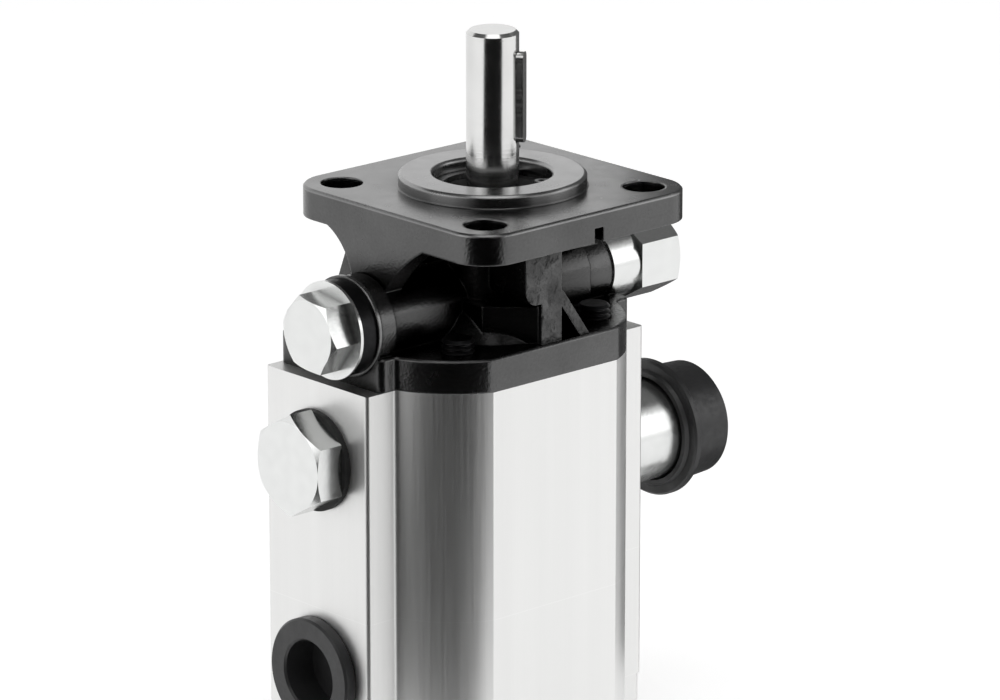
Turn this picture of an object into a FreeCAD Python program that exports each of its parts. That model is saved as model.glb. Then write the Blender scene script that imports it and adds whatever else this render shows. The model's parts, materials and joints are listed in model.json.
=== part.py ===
import FreeCAD, Part
import math
import os

# Two-stage gear pump, in millimetres. The shaft axis is Z, and the origin is the centre of the
# flange's mounting face. The driven gears lie towards +Y, and both port pads face -X and +X.

# Clearances
slip_fit = 0.02
running_fit = 0.06
face_gap = 0.10
thread_fit = 0.10
bolt_clearance = 0.25

# Edges shared by small pieces
turned_edge = 0.6
moulded_edge = 0.5
thread_lead_in = 1.0

# Mounting flange and pilot
flange_side = 70.0
flange_thickness = 7.5
flange_corner_radius = 10.0
flange_edge = 0.5
flange_bolt_circle = 72.14
flange_hole_radius = 5.15
pilot_radius = 22.6
pilot_height = 3.2
notch_width = 2.8
notch_height = 3.6
notch_depth = 3.0
notch_x = 2.0

# Levels of the stack, each measured as the length of one section
window_height = 27.1
base_thickness = 8.2
low_housing_length = 56.8
high_housing_length = 33.0
rear_cover_thickness = 18.0

# Plan outline shared by the housings and the rear cover
end_half_width = 20.0
drive_to_end = 22.3
shoulder_half_width = 35.7
pad_stand = 9.2
cover_pad_stand = 4.8
pad_overhang = 5.4
corner_bulge = 2.5
outline_edge = 1.0
step_round = 1.5
cover_corner = 2.0
cover_top_edge = 0.5
rear_cover_edge = 1.2

# Gears
gear_module = 2.6
gear_teeth = 10
gear_pressure_angle = 26.0
gear_addendum = 2.4
gear_root_clearance = 0.35
gear_backlash = 0.12
gear_flank_shares = (0.0, 0.2, 0.4, 0.6, 0.8, 1.0)
gear_tip_clearance = 0.10
low_gear_width = 22.0
high_gear_width = 8.0
partition_thickness = 6.0

# Shaft, journals and keys
shaft_radius = 6.35
shaft_stickout = 38.1
shaft_tip_chamfer = 0.8
journal_radius = 7.5
shaft_shoulder_z = -10.5
shaft_end_gap = 1.6
bush_wall = 1.5
bush_end_gap = 0.5
partition_bore_gap = 0.5
shaft_key_side = 3.175
shaft_key_length = 22.2
shaft_key_top_gap = 4.9
shaft_key_end_round = 1.4
shaft_key_angle = -58.0
gear_key_side = 2.5
gear_key_end_gap = 1.0
gear_key_angle = -90.0

# Shaft seal seat in the pilot
seal_bore_radius = 14.3
seal_front_z = -1.2
seal_thickness = 7.0
seal_rim_width = 2.2
seal_dish_depth = 2.6
seal_dish_slope = 1.2
seal_dish_inner_radius = 9.2
seal_lip_drop = 1.2
seal_lip_height = 2.4
seal_lip_relief = 1.0
ring_groove_depth = 0.8
ring_thickness = 1.2
ring_inner_radius = 12.2
ring_gap_angle = 40.0
ring_eye_radius = 1.7
ring_eye_hole_radius = 0.8
ring_eye_turn = 6.0
front_bush_length = 18.0

# Front cover casting
hub_top_radius = 17.0
hub_top_rim = 1.5
hub_top_cone = 3.5
hub_neck_radius = 11.6
hub_foot_radius = 18.8
hub_foot_height = 8.8
block_half_width = 13.0
block_side_depth = 10.6
block_front_y = -20.4
block_height = 9.0
valve_y = 6.0
valve_z = -28.3
boss_radius = 10.0
boss_flat = 9.5
left_boss_radius = 11.7
left_boss_length = 6.0
left_boss_lip_radius = 12.2
left_boss_lip = 1.2
left_boss_stand = 1.1
right_boss_radius = 8.8
right_boss_stand = 1.0
web_thickness = 6.0
web_near_top = -14.0
web_near_foot = 1.4
web_far_top = 20.0
web_far_waist = 12.4
web_far_foot = 11.0
web_sag = 0.62
web_foot_rise = 6.0
front_rib_face = 1.2
front_rib_left = -8.4
front_rib_right = 3.0
front_rib_drop = 17.0
front_rib_stem_left = -3.4
front_rib_round = 3.5
gusset_top_x = 3.4
gusset_foot_x = 12.0
gusset_thickness = 3.0
gusset_depth = 8.0
rear_wall_half_width = 16.0
rear_wall_foot_half_width = 27.0
rear_wall_thickness = 6.0
rear_wall_y = 24.0
gallery_radius = 3.0
gallery_x = 24.5

# Through bolts, dowels and seals between the sections
bolt_radius = 4.0
bolt_x = 22.0
bolt_inset = 10.3
bolt_head_radius = 6.5
bolt_head_height = 8.0
bolt_head_recess = 0.6
bolt_socket_width = 6.0
bolt_socket_depth = 4.0
bolt_end_stand = 3.5
bolt_tip_chamfer = 0.8
counterbore_gap = 0.2
dowel_radius = 2.5
dowel_length = 10.0
dowel_x = 33.5
dowel_inset = 4.2
seal_path_gap = 2.8
seal_wire_radius = 0.85
seal_groove_slack = 0.1
gallery_seal_radius = 4.3
gallery_seal_wire = 0.7

# Plug in the spare port of the low-pressure housing
port_z = -62.2
port_thread_radius = 9.3
port_thread_depth = 14.0
port_plug_end_gap = 1.0
port_passage_radius = 8.0
plug_width = 22.0
plug_thickness = 7.5
plug_washer_thickness = 1.6
plug_washer_radius = 12.4

# Suction tube and its pull-off cap
suction_z = -77.2
tube_radius = 12.7
tube_wall = 1.6
tube_seat_depth = 14.0
tube_length = 42.0
tube_seal_wire = 0.9
tube_seal_inset = 5.0
suction_passage_radius = 10.4
suction_cap_stand = 19.4
suction_cap_rim_radius = 17.4
suction_cap_rim = 2.4
suction_cap_lip_radius = 15.0
suction_cap_lip = 1.0
suction_cap_wall = 2.2
suction_cap_length = 15.0
suction_cap_end = 2.0
suction_cap_corner = 1.0
suction_cap_taper = 0.6
suction_cap_fit = 0.12

# Outlet port and its push-in cap
outlet_z = -116.0
outlet_thread_radius = 10.3
outlet_thread_depth = 16.0
outlet_passage_radius = 6.5
outlet_cap_rim_radius = 14.0
outlet_cap_rim = 3.0
outlet_cap_seat_gap = 0.3
outlet_cap_stem_fit = 0.15
outlet_cap_wall = 1.6
outlet_cap_depth = 7.0
outlet_cap_lead_in = 1.0

# Check valve under the left plug
check_bore_radius = 7.5
check_bore_depth = 11.0
check_guide_radius = 6.0
check_seat_x = -17.5
check_seat_radius = 4.0
check_seat_depth = 4.0
check_plug_width = 17.0
check_plug_hex = 6.4
check_plug_flange_radius = 11.9
check_plug_flange = 0.8
check_plug_turn = 7.0
check_collar_radius = 11.6
check_collar_gap = 4.6
check_pocket_radius = 4.9
check_pocket_depth = 9.0
check_poppet_length = 9.0
check_poppet_gap = 0.2
check_poppet_cone = 2.2
check_spring_radius = 3.9

# Unloader valve behind the right cap
unloader_seat_x = 15.5
unloader_guide_radius = 5.0
unloader_guide_end = 24.0
unloader_sleeve_radius = 6.9
unloader_sleeve_bore = 5.4
sleeve_relief = 0.5
unloader_sleeve_stand = 9.6
unloader_hex_width = 19.0
unloader_hex_length = 12.9
unloader_hex_wall = 3.0
unloader_spool_length = 10.0
unloader_spool_fit = 0.08
unloader_spool_edge = 1.0
unloader_spool_groove = 2.0
unloader_spool_groove_depth = 1.2
unloader_spring_radius = 3.9
unloader_spring_length = 12.0
unloader_screw_radius = 5.3
unloader_screw_length = 8.0
unloader_screw_slot = 1.6
spring_wire_radius = 0.6
spring_turns = 5

# Places worked out from the sizes above
centre_distance = gear_module * gear_teeth
pitch_radius = centre_distance / 2
mid_y = centre_distance / 2
tip_radius = pitch_radius + gear_addendum
root_radius = pitch_radius - gear_addendum - gear_root_clearance
pocket_radius = tip_radius + gear_tip_clearance
flange_half = flange_side / 2
flange_bolt_spacing = flange_bolt_circle / math.sqrt(2)
flange_under_z = -flange_thickness
base_top_z = flange_under_z - window_height
low_top_z = base_top_z - base_thickness
high_top_z = low_top_z - low_housing_length
rear_top_z = high_top_z - high_housing_length
rear_face_z = rear_top_z - rear_cover_thickness
high_pocket_top_z = high_top_z - partition_thickness
low_gear_top_z = (low_top_z + high_top_z + low_gear_width) / 2
high_gear_top_z = (high_pocket_top_z + rear_top_z + high_gear_width) / 2
bush_outer_radius = journal_radius + running_fit + bush_wall
bolt_y = drive_to_end - bolt_inset
seal_path_radius = pocket_radius + seal_path_gap
seal_groove_depth = 2 * seal_wire_radius + seal_groove_slack
pad_half_width = shoulder_half_width + pad_stand
cover_pad_half_width = shoulder_half_width + cover_pad_stand
left_boss_x = -cover_pad_half_width - left_boss_stand
right_boss_end = shoulder_half_width + right_boss_stand
unloader_sleeve_end = right_boss_end + unloader_sleeve_stand
suction_cap_x = pad_half_width + suction_cap_stand
gear_axes = (0.0, centre_distance)
bolt_places = [(sx * bolt_x, y) for sx in (-1, 1) for y in (-bolt_y, centre_distance + bolt_y)]
dowel_places = [(sx * dowel_x, centre_distance + pad_overhang - dowel_inset) for sx in (-1, 1)]


def rod(radius, low, high, x=0.0, y=0.0):
    """A round bar along Z."""
    return Part.makeCylinder(radius, high - low, FreeCAD.Vector(x, y, low))


def rod_x(radius, low, high, y, z):
    """A round bar along X."""
    return Part.makeCylinder(radius, high - low, FreeCAD.Vector(low, y, z), FreeCAD.Vector(1, 0, 0))


def ring(outer, inner, low, high, x=0.0, y=0.0):
    """A flat-ended sleeve along Z."""
    return rod(outer, low, high, x, y).cut(rod(inner, low, high, x, y))


def ring_x(outer, inner, low, high, y, z):
    """A flat-ended sleeve along X."""
    return rod_x(outer, low, high, y, z).cut(rod_x(inner, low, high, y, z))


def box(x_low, x_high, y_low, y_high, z_low, z_high):
    """A block between two corners."""
    corner = FreeCAD.Vector(x_low, y_low, z_low)
    return Part.makeBox(x_high - x_low, y_high - y_low, z_high - z_low, corner)


def turned(points, x=0.0, y=0.0):
    """A turned piece about a Z axis, from (radius, z) points."""
    corners = [FreeCAD.Vector(x + radius, y, z) for radius, z in points]
    face = Part.Face(Part.makePolygon(corners + corners[:1]))
    return face.revolve(FreeCAD.Vector(x, y, 0), FreeCAD.Vector(0, 0, 1), 360)


def turned_x(points, y, z):
    """A turned piece about an X axis, from (x, radius) points."""
    corners = [FreeCAD.Vector(x, y + radius, z) for x, radius in points]
    face = Part.Face(Part.makePolygon(corners + corners[:1]))
    return face.revolve(FreeCAD.Vector(0, y, z), FreeCAD.Vector(1, 0, 0), 360)


def joined(shapes):
    """One solid from shapes that meet."""
    return shapes[0].multiFuse(shapes[1:]).removeSplitter()


def prism(points, low, high):
    """A block with straight sides over a plan outline of (x, y) points."""
    corners = [FreeCAD.Vector(x, y, low) for x, y in points]
    face = Part.Face(Part.makePolygon(corners + corners[:1]))
    return face.extrude(FreeCAD.Vector(0, 0, high - low))


def hexagon(width, low, high, chamfered=True):
    """A hexagon along Z with corners on X, its high end chamfered at 30 degrees."""
    corner = width / math.sqrt(3)
    turns = [math.radians(60 * step) for step in range(6)]
    block = prism([(corner * math.cos(a), corner * math.sin(a)) for a in turns], low, high)
    if not chamfered:
        return block
    drop = (corner - width / 2) * math.tan(math.radians(30))
    outline = [(0, low), (corner, low), (corner, high - drop), (width / 2, high), (0, high)]
    return block.common(turned(outline))


def laid_on_x(shape, facing, y, z, turn=0.0):
    """Turns a piece built along +Z so that it points along +X or -X, on the axis at y, z."""
    placed = shape.copy()
    placed.rotate(FreeCAD.Vector(0, 0, 0), FreeCAD.Vector(0, 0, 1), turn)
    placed.rotate(FreeCAD.Vector(0, 0, 0), FreeCAD.Vector(0, 1, 0), 90 * facing)
    placed.translate(FreeCAD.Vector(0, y, z))
    return placed


def upright_edges_at(shape, distance):
    """The edges along Z that stand at the given distance either side of the YZ plane."""
    found = []
    for edge in shape.Edges:
        first, last = edge.Vertexes[0].Point, edge.Vertexes[-1].Point
        across = math.hypot(first.x - last.x, first.y - last.y)
        if across < 1e-6 and abs(abs(first.x) - distance) < 1e-6:
            found.append(edge)
    return found


def level_edges(shape, z):
    """The edges that lie wholly at height z."""
    return [edge for edge in shape.Edges if all(abs(v.Point.z - z) < 1e-6 for v in edge.Vertexes)
            and abs(edge.CenterOfMass.z - z) < 1e-6]


def section_face(pad_width, z):
    """The plan of a section: flat ends, bulged corners and a port pad on each side."""
    near_end = -drive_to_end
    far_end = centre_distance + drive_to_end
    near_step = -pad_overhang
    far_step = centre_distance + pad_overhang
    run = shoulder_half_width - end_half_width
    rise = drive_to_end - pad_overhang
    chord = math.hypot(run, rise)
    middle_x = (end_half_width + shoulder_half_width) / 2 + corner_bulge * rise / chord
    middle_out = (drive_to_end + pad_overhang) / 2 + corner_bulge * run / chord

    def point(x, y):
        return FreeCAD.Vector(x, y, z)

    def line(a, b):
        return Part.LineSegment(point(*a), point(*b)).toShape()

    def corner(a, middle, b):
        return Part.Arc(point(*a), point(*middle), point(*b)).toShape()

    near_middle = -middle_out
    far_middle = centre_distance + middle_out
    edges = [
        line((-end_half_width, near_end), (end_half_width, near_end)),
        corner((end_half_width, near_end), (middle_x, near_middle), (shoulder_half_width, near_step)),
        line((shoulder_half_width, near_step), (pad_width, near_step)),
        line((pad_width, near_step), (pad_width, far_step)),
        line((pad_width, far_step), (shoulder_half_width, far_step)),
        corner((shoulder_half_width, far_step), (middle_x, far_middle), (end_half_width, far_end)),
        line((end_half_width, far_end), (-end_half_width, far_end)),
        corner((-end_half_width, far_end), (-middle_x, far_middle), (-shoulder_half_width, far_step)),
        line((-shoulder_half_width, far_step), (-pad_width, far_step)),
        line((-pad_width, far_step), (-pad_width, near_step)),
        line((-pad_width, near_step), (-shoulder_half_width, near_step)),
        corner((-shoulder_half_width, near_step), (-middle_x, near_middle), (-end_half_width, near_end)),
    ]
    return Part.Face(Part.Wire(edges))


def section_block(pad_width, low, high, corner):
    """A solid section with the upright corners of its port pads rounded, inside and out."""
    block = section_face(pad_width, low).extrude(FreeCAD.Vector(0, 0, high - low))
    pad_corners = upright_edges_at(block, pad_width)
    block = block.makeFillet(corner, pad_corners)
    return block.makeFillet(step_round, upright_edges_at(block, shoulder_half_width))


def figure_eight(radius, low, high):
    """The double bore that holds a pair of gears, or a solid that fits it."""
    return joined([rod(radius, low, high, 0, y) for y in gear_axes])


def bolt_holes(low, high, gap=bolt_clearance):
    """Holes for the through bolts, a gap wider than the bolts all round."""
    return [rod(bolt_radius + gap, low, high, x, y) for x, y in bolt_places]


def dowel_holes(joint_z):
    """Holes for the two dowels across one joint."""
    reach = dowel_length / 2 + bush_end_gap
    return [rod(dowel_radius + slip_fit, joint_z - reach, joint_z + reach, x, y) for x, y in dowel_places]


def racetrack_wire(radius, z):
    """A closed path round both gear bores."""
    low_start = FreeCAD.Vector(-radius, 0, z)
    low_end = FreeCAD.Vector(radius, 0, z)
    high_start = FreeCAD.Vector(radius, centre_distance, z)
    high_end = FreeCAD.Vector(-radius, centre_distance, z)
    low_arc = Part.Arc(low_start, FreeCAD.Vector(0, -radius, z), low_end).toShape()
    high_arc = Part.Arc(high_start, FreeCAD.Vector(0, centre_distance + radius, z), high_end).toShape()
    right = Part.LineSegment(low_end, high_start).toShape()
    left = Part.LineSegment(high_end, low_start).toShape()
    return Part.Wire([low_arc, right, high_arc, left])


def joint_groove(top_z):
    """The groove that holds a joint's seal, cut down from the face at top_z."""
    half = seal_wire_radius + seal_groove_slack
    outer = Part.Face(racetrack_wire(seal_path_radius + half, top_z - seal_groove_depth))
    inner = Part.Face(racetrack_wire(seal_path_radius - half, top_z - seal_groove_depth))
    band = outer.cut(inner)
    return band.extrude(FreeCAD.Vector(0, 0, seal_groove_depth))


def joint_seal(top_z):
    """The ring that lies in a joint's groove."""
    z = top_z - seal_wire_radius - seal_groove_slack / 2
    path = racetrack_wire(seal_path_radius, z)
    start = FreeCAD.Vector(-seal_path_radius, 0, z)
    section = Part.Wire(Part.makeCircle(seal_wire_radius, start, FreeCAD.Vector(0, 1, 0)))
    return path.makePipeShell([section], True, False)


def gallery_places():
    """The joint height, x and y of each oil gallery that crosses a joint."""
    return [(low_top_z, -gallery_x, valve_y), (low_top_z, gallery_x, valve_y), (high_top_z, gallery_x, mid_y)]


def gallery_groove(top_z, x, y):
    """The counterbore that holds a gallery's seal."""
    depth = 2 * gallery_seal_wire + seal_groove_slack
    return rod(gallery_seal_radius + gallery_seal_wire + seal_groove_slack, top_z - depth, top_z, x, y)


def gallery_seals():
    """A small ring at each place where a gallery crosses a joint."""
    rings = []
    for top_z, x, y in gallery_places():
        centre = FreeCAD.Vector(x, y, top_z - gallery_seal_wire - seal_groove_slack / 2)
        rings.append(Part.makeTorus(gallery_seal_radius, gallery_seal_wire, centre))
    return Part.makeCompound(rings)


def flange():
    """The square mounting flange with its pilot, without holes."""
    plate = box(-flange_half, flange_half, -flange_half, flange_half, flange_under_z, 0)
    corners = [e for e in plate.Edges if abs(e.Vertexes[0].Point.z - e.Vertexes[-1].Point.z) > 1]
    plate = plate.makeFillet(flange_corner_radius, corners)
    plate = plate.makeChamfer(flange_edge, level_edges(plate, 0))
    pilot = turned([(0, 0), (pilot_radius, 0), (pilot_radius, pilot_height - turned_edge),
                    (pilot_radius - turned_edge, pilot_height), (0, pilot_height)])
    return [plate, pilot]


def hub():
    """The column round the shaft: a seat for the seal under the flange, a neck and a coned foot."""
    rim_z = flange_under_z - hub_top_rim
    return turned([(0, base_top_z), (hub_foot_radius, base_top_z),
                   (hub_neck_radius, base_top_z + hub_foot_height),
                   (hub_neck_radius, rim_z - hub_top_cone), (hub_top_radius, rim_z),
                   (hub_top_radius, flange_under_z), (0, flange_under_z)])


def hub_block():
    """The low block on the hub's left foot, with its near corner cut off towards the rib."""
    outline = [(-block_half_width, 0), (-block_half_width, -block_side_depth),
               (front_rib_stem_left + turned_edge, block_front_y), (front_rib_stem_left + turned_edge, 0)]
    return prism(outline, base_top_z, base_top_z + block_height)


def side_web(side):
    """The concave web on one side of the flange, which runs down into the valve boss."""
    outer_x = side * flange_half
    top_z = flange_under_z
    foot_z = valve_z + web_foot_rise
    waist_z = (top_z + foot_z) / 2

    def point(y, z):
        return FreeCAD.Vector(outer_x, y, z)

    near_middle_y = web_near_top + (web_near_foot - web_near_top) * web_sag
    edges = [
        Part.LineSegment(point(web_far_top, top_z), point(web_near_top, top_z)).toShape(),
        Part.Arc(point(web_near_top, top_z), point(near_middle_y, waist_z),
                 point(web_near_foot, foot_z)).toShape(),
        Part.LineSegment(point(web_near_foot, foot_z), point(web_far_foot, foot_z)).toShape(),
        Part.Arc(point(web_far_foot, foot_z), point(web_far_waist, waist_z),
                 point(web_far_top, top_z)).toShape(),
    ]
    face = Part.Face(Part.Wire(edges))
    return face.extrude(FreeCAD.Vector(-side * web_thickness, 0, 0))


def front_rib():
    """The rough rib below the flange's near side, with its stem and the gusset beside it."""
    face_y = -drive_to_end + front_rib_face
    shoulder_z = flange_under_z - front_rib_drop
    head = box(front_rib_left, front_rib_right, face_y, 0, shoulder_z, flange_under_z)
    low_corner = [e for e in head.Edges if e.Length > drive_to_end / 2
                  and all(abs(v.Point.x - front_rib_left) < 1e-6 and abs(v.Point.z - shoulder_z) < 1e-6
                          for v in e.Vertexes)]
    head = head.makeFillet(front_rib_round, low_corner)
    stem = box(front_rib_stem_left, front_rib_right, face_y, 0, base_top_z, shoulder_z)
    upper_z = valve_z + web_foot_rise
    corners = [FreeCAD.Vector(x, face_y, z) for x, z in (
        (gusset_top_x - gusset_thickness, upper_z), (gusset_top_x, upper_z),
        (gusset_foot_x, base_top_z), (gusset_foot_x - gusset_thickness, base_top_z))]
    gusset_face = Part.Face(Part.makePolygon(corners + corners[:1]))
    gusset = gusset_face.extrude(FreeCAD.Vector(0, gusset_depth, 0))
    return [head, stem, gusset]


def rear_wall():
    """The wall behind the hub that carries the flange's far side on the base."""
    corners = [FreeCAD.Vector(x, rear_wall_y, z) for x, z in (
        (-rear_wall_half_width, flange_under_z), (rear_wall_half_width, flange_under_z),
        (rear_wall_foot_half_width, base_top_z), (-rear_wall_foot_half_width, base_top_z))]
    wall = Part.Face(Part.makePolygon(corners + corners[:1]))
    return wall.extrude(FreeCAD.Vector(0, rear_wall_thickness, 0))


def valve_boss():
    """The block along X that holds both valves, with a flat on its near side."""
    barrel = rod_x(boss_radius, -flange_half, flange_half - web_thickness, valve_y, valve_z)
    near = valve_y - boss_radius
    cutter = box(-flange_half, flange_half, near - boss_radius, valve_y - boss_flat,
                 valve_z - boss_radius, valve_z + boss_radius)
    barrel = barrel.cut(cutter)
    left = rod_x(left_boss_radius, left_boss_x + left_boss_lip, left_boss_x + left_boss_length,
                 valve_y, valve_z)
    lip = rod_x(left_boss_lip_radius, left_boss_x, left_boss_x + left_boss_lip, valve_y, valve_z)
    right = rod_x(right_boss_radius, flange_half - web_thickness, right_boss_end, valve_y, valve_z)
    return [barrel, left, lip, right]


def cover_cuts():
    """Everything bored out of the front cover."""
    top = pilot_height
    seal_floor = seal_front_z - seal_thickness
    chamfer = turned([(0, top - turned_edge), (seal_bore_radius, top - turned_edge),
                      (seal_bore_radius + turned_edge, top), (0, top)])
    ring_low = seal_front_z + face_gap
    cuts = [
        rod(seal_bore_radius, seal_floor, top),
        chamfer,
        rod(seal_bore_radius + ring_groove_depth, ring_low, ring_low + ring_thickness + 2 * slip_fit),
        rod(journal_radius + partition_bore_gap, low_top_z, seal_floor),
        rod(bush_outer_radius + slip_fit, low_top_z, low_top_z + front_bush_length + bush_end_gap),
        rod_x(check_bore_radius, left_boss_x, left_boss_x + check_bore_depth, valve_y, valve_z),
        rod_x(check_guide_radius, left_boss_x, check_seat_x, valve_y, valve_z),
        rod_x(check_seat_radius, check_seat_x, check_seat_x + check_seat_depth, valve_y, valve_z),
        rod_x(unloader_sleeve_radius + slip_fit, unloader_guide_end, right_boss_end, valve_y, valve_z),
        rod_x(unloader_guide_radius, unloader_seat_x, right_boss_end, valve_y, valve_z),
        rod_x(unloader_sleeve_radius + sleeve_relief, right_boss_end, pad_half_width, valve_y, valve_z),
        box(notch_x - notch_width / 2, notch_x + notch_width / 2, -flange_half, -flange_half + notch_depth,
            flange_under_z, flange_under_z + notch_height),
    ]
    half = flange_bolt_spacing / 2
    cuts += [rod(flange_hole_radius, flange_under_z, 0, sx * half, sy * half)
             for sx in (-1, 1) for sy in (-1, 1)]
    cuts += bolt_holes(low_top_z, base_top_z, thread_fit)
    cuts += dowel_holes(low_top_z)
    cuts += [rod(gallery_radius, low_top_z, valve_z, sx * gallery_x, valve_y) for sx in (-1, 1)]
    return cuts


def front_cover():
    """The cast cover: flange, pilot, hub, webs, ribs, valve boss and base in one piece."""
    base = section_block(cover_pad_half_width, low_top_z, base_top_z, cover_corner)
    base = base.makeChamfer(cover_top_edge, level_edges(base, base_top_z))
    pieces = [base, hub(), hub_block(), rear_wall(), side_web(-1), side_web(1)]
    pieces += flange() + front_rib() + valve_boss()
    return joined(pieces).cut(cover_cuts()).removeSplitter()


def low_pressure_housing():
    """The long section that holds the wide gears, with the suction port and the plugged port."""
    block = section_block(pad_half_width, high_top_z, low_top_z, outline_edge)
    inner = -pocket_radius / 2
    cuts = [
        figure_eight(pocket_radius, high_top_z, low_top_z),
        joint_groove(low_top_z),
        rod_x(port_thread_radius, -pad_half_width, -pad_half_width + port_thread_depth, mid_y, port_z),
        rod_x(port_passage_radius, -pad_half_width, inner, mid_y, port_z),
        rod_x(tube_radius + slip_fit, pad_half_width - tube_seat_depth, pad_half_width, mid_y, suction_z),
        rod_x(suction_passage_radius, -inner, pad_half_width, mid_y, suction_z),
        suction_seal_groove(),
        rod(gallery_radius, port_z, low_top_z, -gallery_x, valve_y),
        rod(gallery_radius, suction_z, low_top_z, gallery_x, valve_y),
        rod(gallery_radius, high_top_z, suction_z, gallery_x, mid_y),
    ]
    cuts += [gallery_groove(*place) for place in gallery_places() if place[0] == low_top_z]
    cuts += bolt_holes(high_top_z, low_top_z) + dowel_holes(low_top_z) + dowel_holes(high_top_z)
    return block.cut(cuts)


def high_pressure_housing():
    """The short section that holds the narrow gears, closed towards the wide ones by a partition."""
    block = section_block(pad_half_width, rear_top_z, high_top_z, outline_edge)
    inner = -pocket_radius / 2
    feed_z = high_gear_top_z - high_gear_width / 2
    cuts = [
        figure_eight(pocket_radius, rear_top_z, high_pocket_top_z),
        rod(journal_radius + partition_bore_gap, high_pocket_top_z, high_top_z),
        joint_groove(high_top_z),
        rod_x(outlet_thread_radius, -pad_half_width, -pad_half_width + outlet_thread_depth, mid_y, outlet_z),
        rod_x(outlet_passage_radius, -pad_half_width, inner, mid_y, outlet_z),
        rod(gallery_radius, feed_z, high_top_z, gallery_x, mid_y),
        rod_x(gallery_radius, -inner, gallery_x, mid_y, feed_z),
    ]
    cuts += [gallery_groove(*place) for place in gallery_places() if place[0] == high_top_z]
    cuts += bolt_holes(rear_top_z, high_top_z) + dowel_holes(high_top_z) + dowel_holes(rear_top_z)
    return block.cut(cuts)


def rear_cover():
    """The closing cover, with counterbores that hide the bolt heads from the face it rests on."""
    block = section_block(pad_half_width, rear_face_z, rear_top_z, cover_corner)
    block = block.makeChamfer(rear_cover_edge, level_edges(block, rear_face_z))
    head_top = rear_face_z + bolt_head_recess + bolt_head_height
    cuts = [joint_groove(rear_top_z)]
    cuts += bolt_holes(rear_face_z, rear_top_z) + dowel_holes(rear_top_z)
    cuts += [rod(bolt_head_radius + counterbore_gap, rear_face_z, head_top, x, y) for x, y in bolt_places]
    return block.cut(cuts)


def tooth_half_angle(radius):
    """Half the angle that a tooth covers at a radius, from its involute flanks."""
    pressure = math.radians(gear_pressure_angle)
    base = pitch_radius * math.cos(pressure)
    half_pitch = (math.pi * gear_module / 2 - gear_backlash / 2) / (2 * pitch_radius)
    local = math.acos(min(1.0, base / radius))
    involute_pitch = math.tan(pressure) - pressure
    involute_here = math.tan(local) - local
    return half_pitch + involute_pitch - involute_here


def gear_face(z, x, y, turn):
    """The outline of one gear, with a tooth centred at the angle turn in degrees."""
    base = pitch_radius * math.cos(math.radians(gear_pressure_angle))
    radii = [base + (tip_radius - base) * share for share in gear_flank_shares]

    def point(radius, angle):
        return FreeCAD.Vector(x + radius * math.cos(angle), y + radius * math.sin(angle), z)

    edges = []
    for tooth in range(gear_teeth):
        middle = math.radians(turn + 360 * tooth / gear_teeth)
        following = middle + 2 * math.pi / gear_teeth
        rising = Part.BSplineCurve()
        rising.interpolate([point(r, middle - tooth_half_angle(r)) for r in radii])
        falling = Part.BSplineCurve()
        falling.interpolate([point(r, middle + tooth_half_angle(r)) for r in reversed(radii)])
        tip = tooth_half_angle(tip_radius)
        foot = tooth_half_angle(base)
        edges += [
            Part.LineSegment(point(root_radius, middle - foot), point(base, middle - foot)).toShape(),
            rising.toShape(),
            Part.Arc(point(tip_radius, middle - tip), point(tip_radius, middle),
                     point(tip_radius, middle + tip)).toShape(),
            falling.toShape(),
            Part.LineSegment(point(base, middle + foot), point(root_radius, middle + foot)).toShape(),
            Part.Arc(point(root_radius, middle + foot), point(root_radius, middle + math.pi / gear_teeth),
                     point(root_radius, following - foot)).toShape(),
        ]
    return Part.Face(Part.Wire(edges))


def gear_blank(width, top_z, y, turn):
    """A toothed ring of full width."""
    return gear_face(top_z - width, 0, y, turn).extrude(FreeCAD.Vector(0, 0, width))


def gear_key_block(low, high, gap):
    """The space of one gear key, grown by a gap on its sides."""
    inner = journal_radius - gear_key_side / 2 - gap
    outer = journal_radius + gear_key_side / 2 + gap
    half = gear_key_side / 2 + gap
    block = box(inner, outer, -half, half, low, high)
    block.rotate(FreeCAD.Vector(0, 0, 0), FreeCAD.Vector(0, 0, 1), gear_key_angle)
    return block


def drive_gear(width, top_z):
    """A drive gear, bored and keyed for the drive shaft."""
    blank = gear_blank(width, top_z, 0, 90)
    bore = rod(journal_radius + slip_fit, top_z - width, top_z)
    return blank.cut([bore, gear_key_block(top_z - width, top_z, slip_fit)])


def driven_gear(width, top_z, upper_end, lower_end):
    """A driven gear with its two journals in one piece."""
    blank = gear_blank(width, top_z, centre_distance, 90 + 180 / gear_teeth)
    journal = rod(journal_radius, lower_end, upper_end, 0, centre_distance)
    return joined([blank, journal])


def shaft_key_block(gap):
    """The space of the outer shaft key, grown by a gap on its sides."""
    top = shaft_stickout - shaft_key_top_gap
    half = shaft_key_side / 2 + gap
    inner = shaft_radius - half
    block = box(inner, shaft_radius + half, -half, half, top - shaft_key_length - gap, top + gap)
    block.rotate(FreeCAD.Vector(0, 0, 0), FreeCAD.Vector(0, 0, 1), shaft_key_angle)
    return block


def shaft_key():
    """The square key with round ends that drives the shaft."""
    block = shaft_key_block(0)
    ends = [e for e in block.Edges if abs(e.Vertexes[0].Point.z - e.Vertexes[-1].Point.z) < 1e-6
            and abs(e.Length - shaft_key_side) < 1e-6 and is_radial(e)]
    return block.makeFillet(shaft_key_end_round, ends)


def is_radial(edge):
    """Whether an edge points away from the Z axis."""
    first, last = edge.Vertexes[0].Point, edge.Vertexes[-1].Point
    turn = math.radians(shaft_key_angle)
    return abs((last.x - first.x) * math.sin(turn) - (last.y - first.y) * math.cos(turn)) < 1e-6


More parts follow.
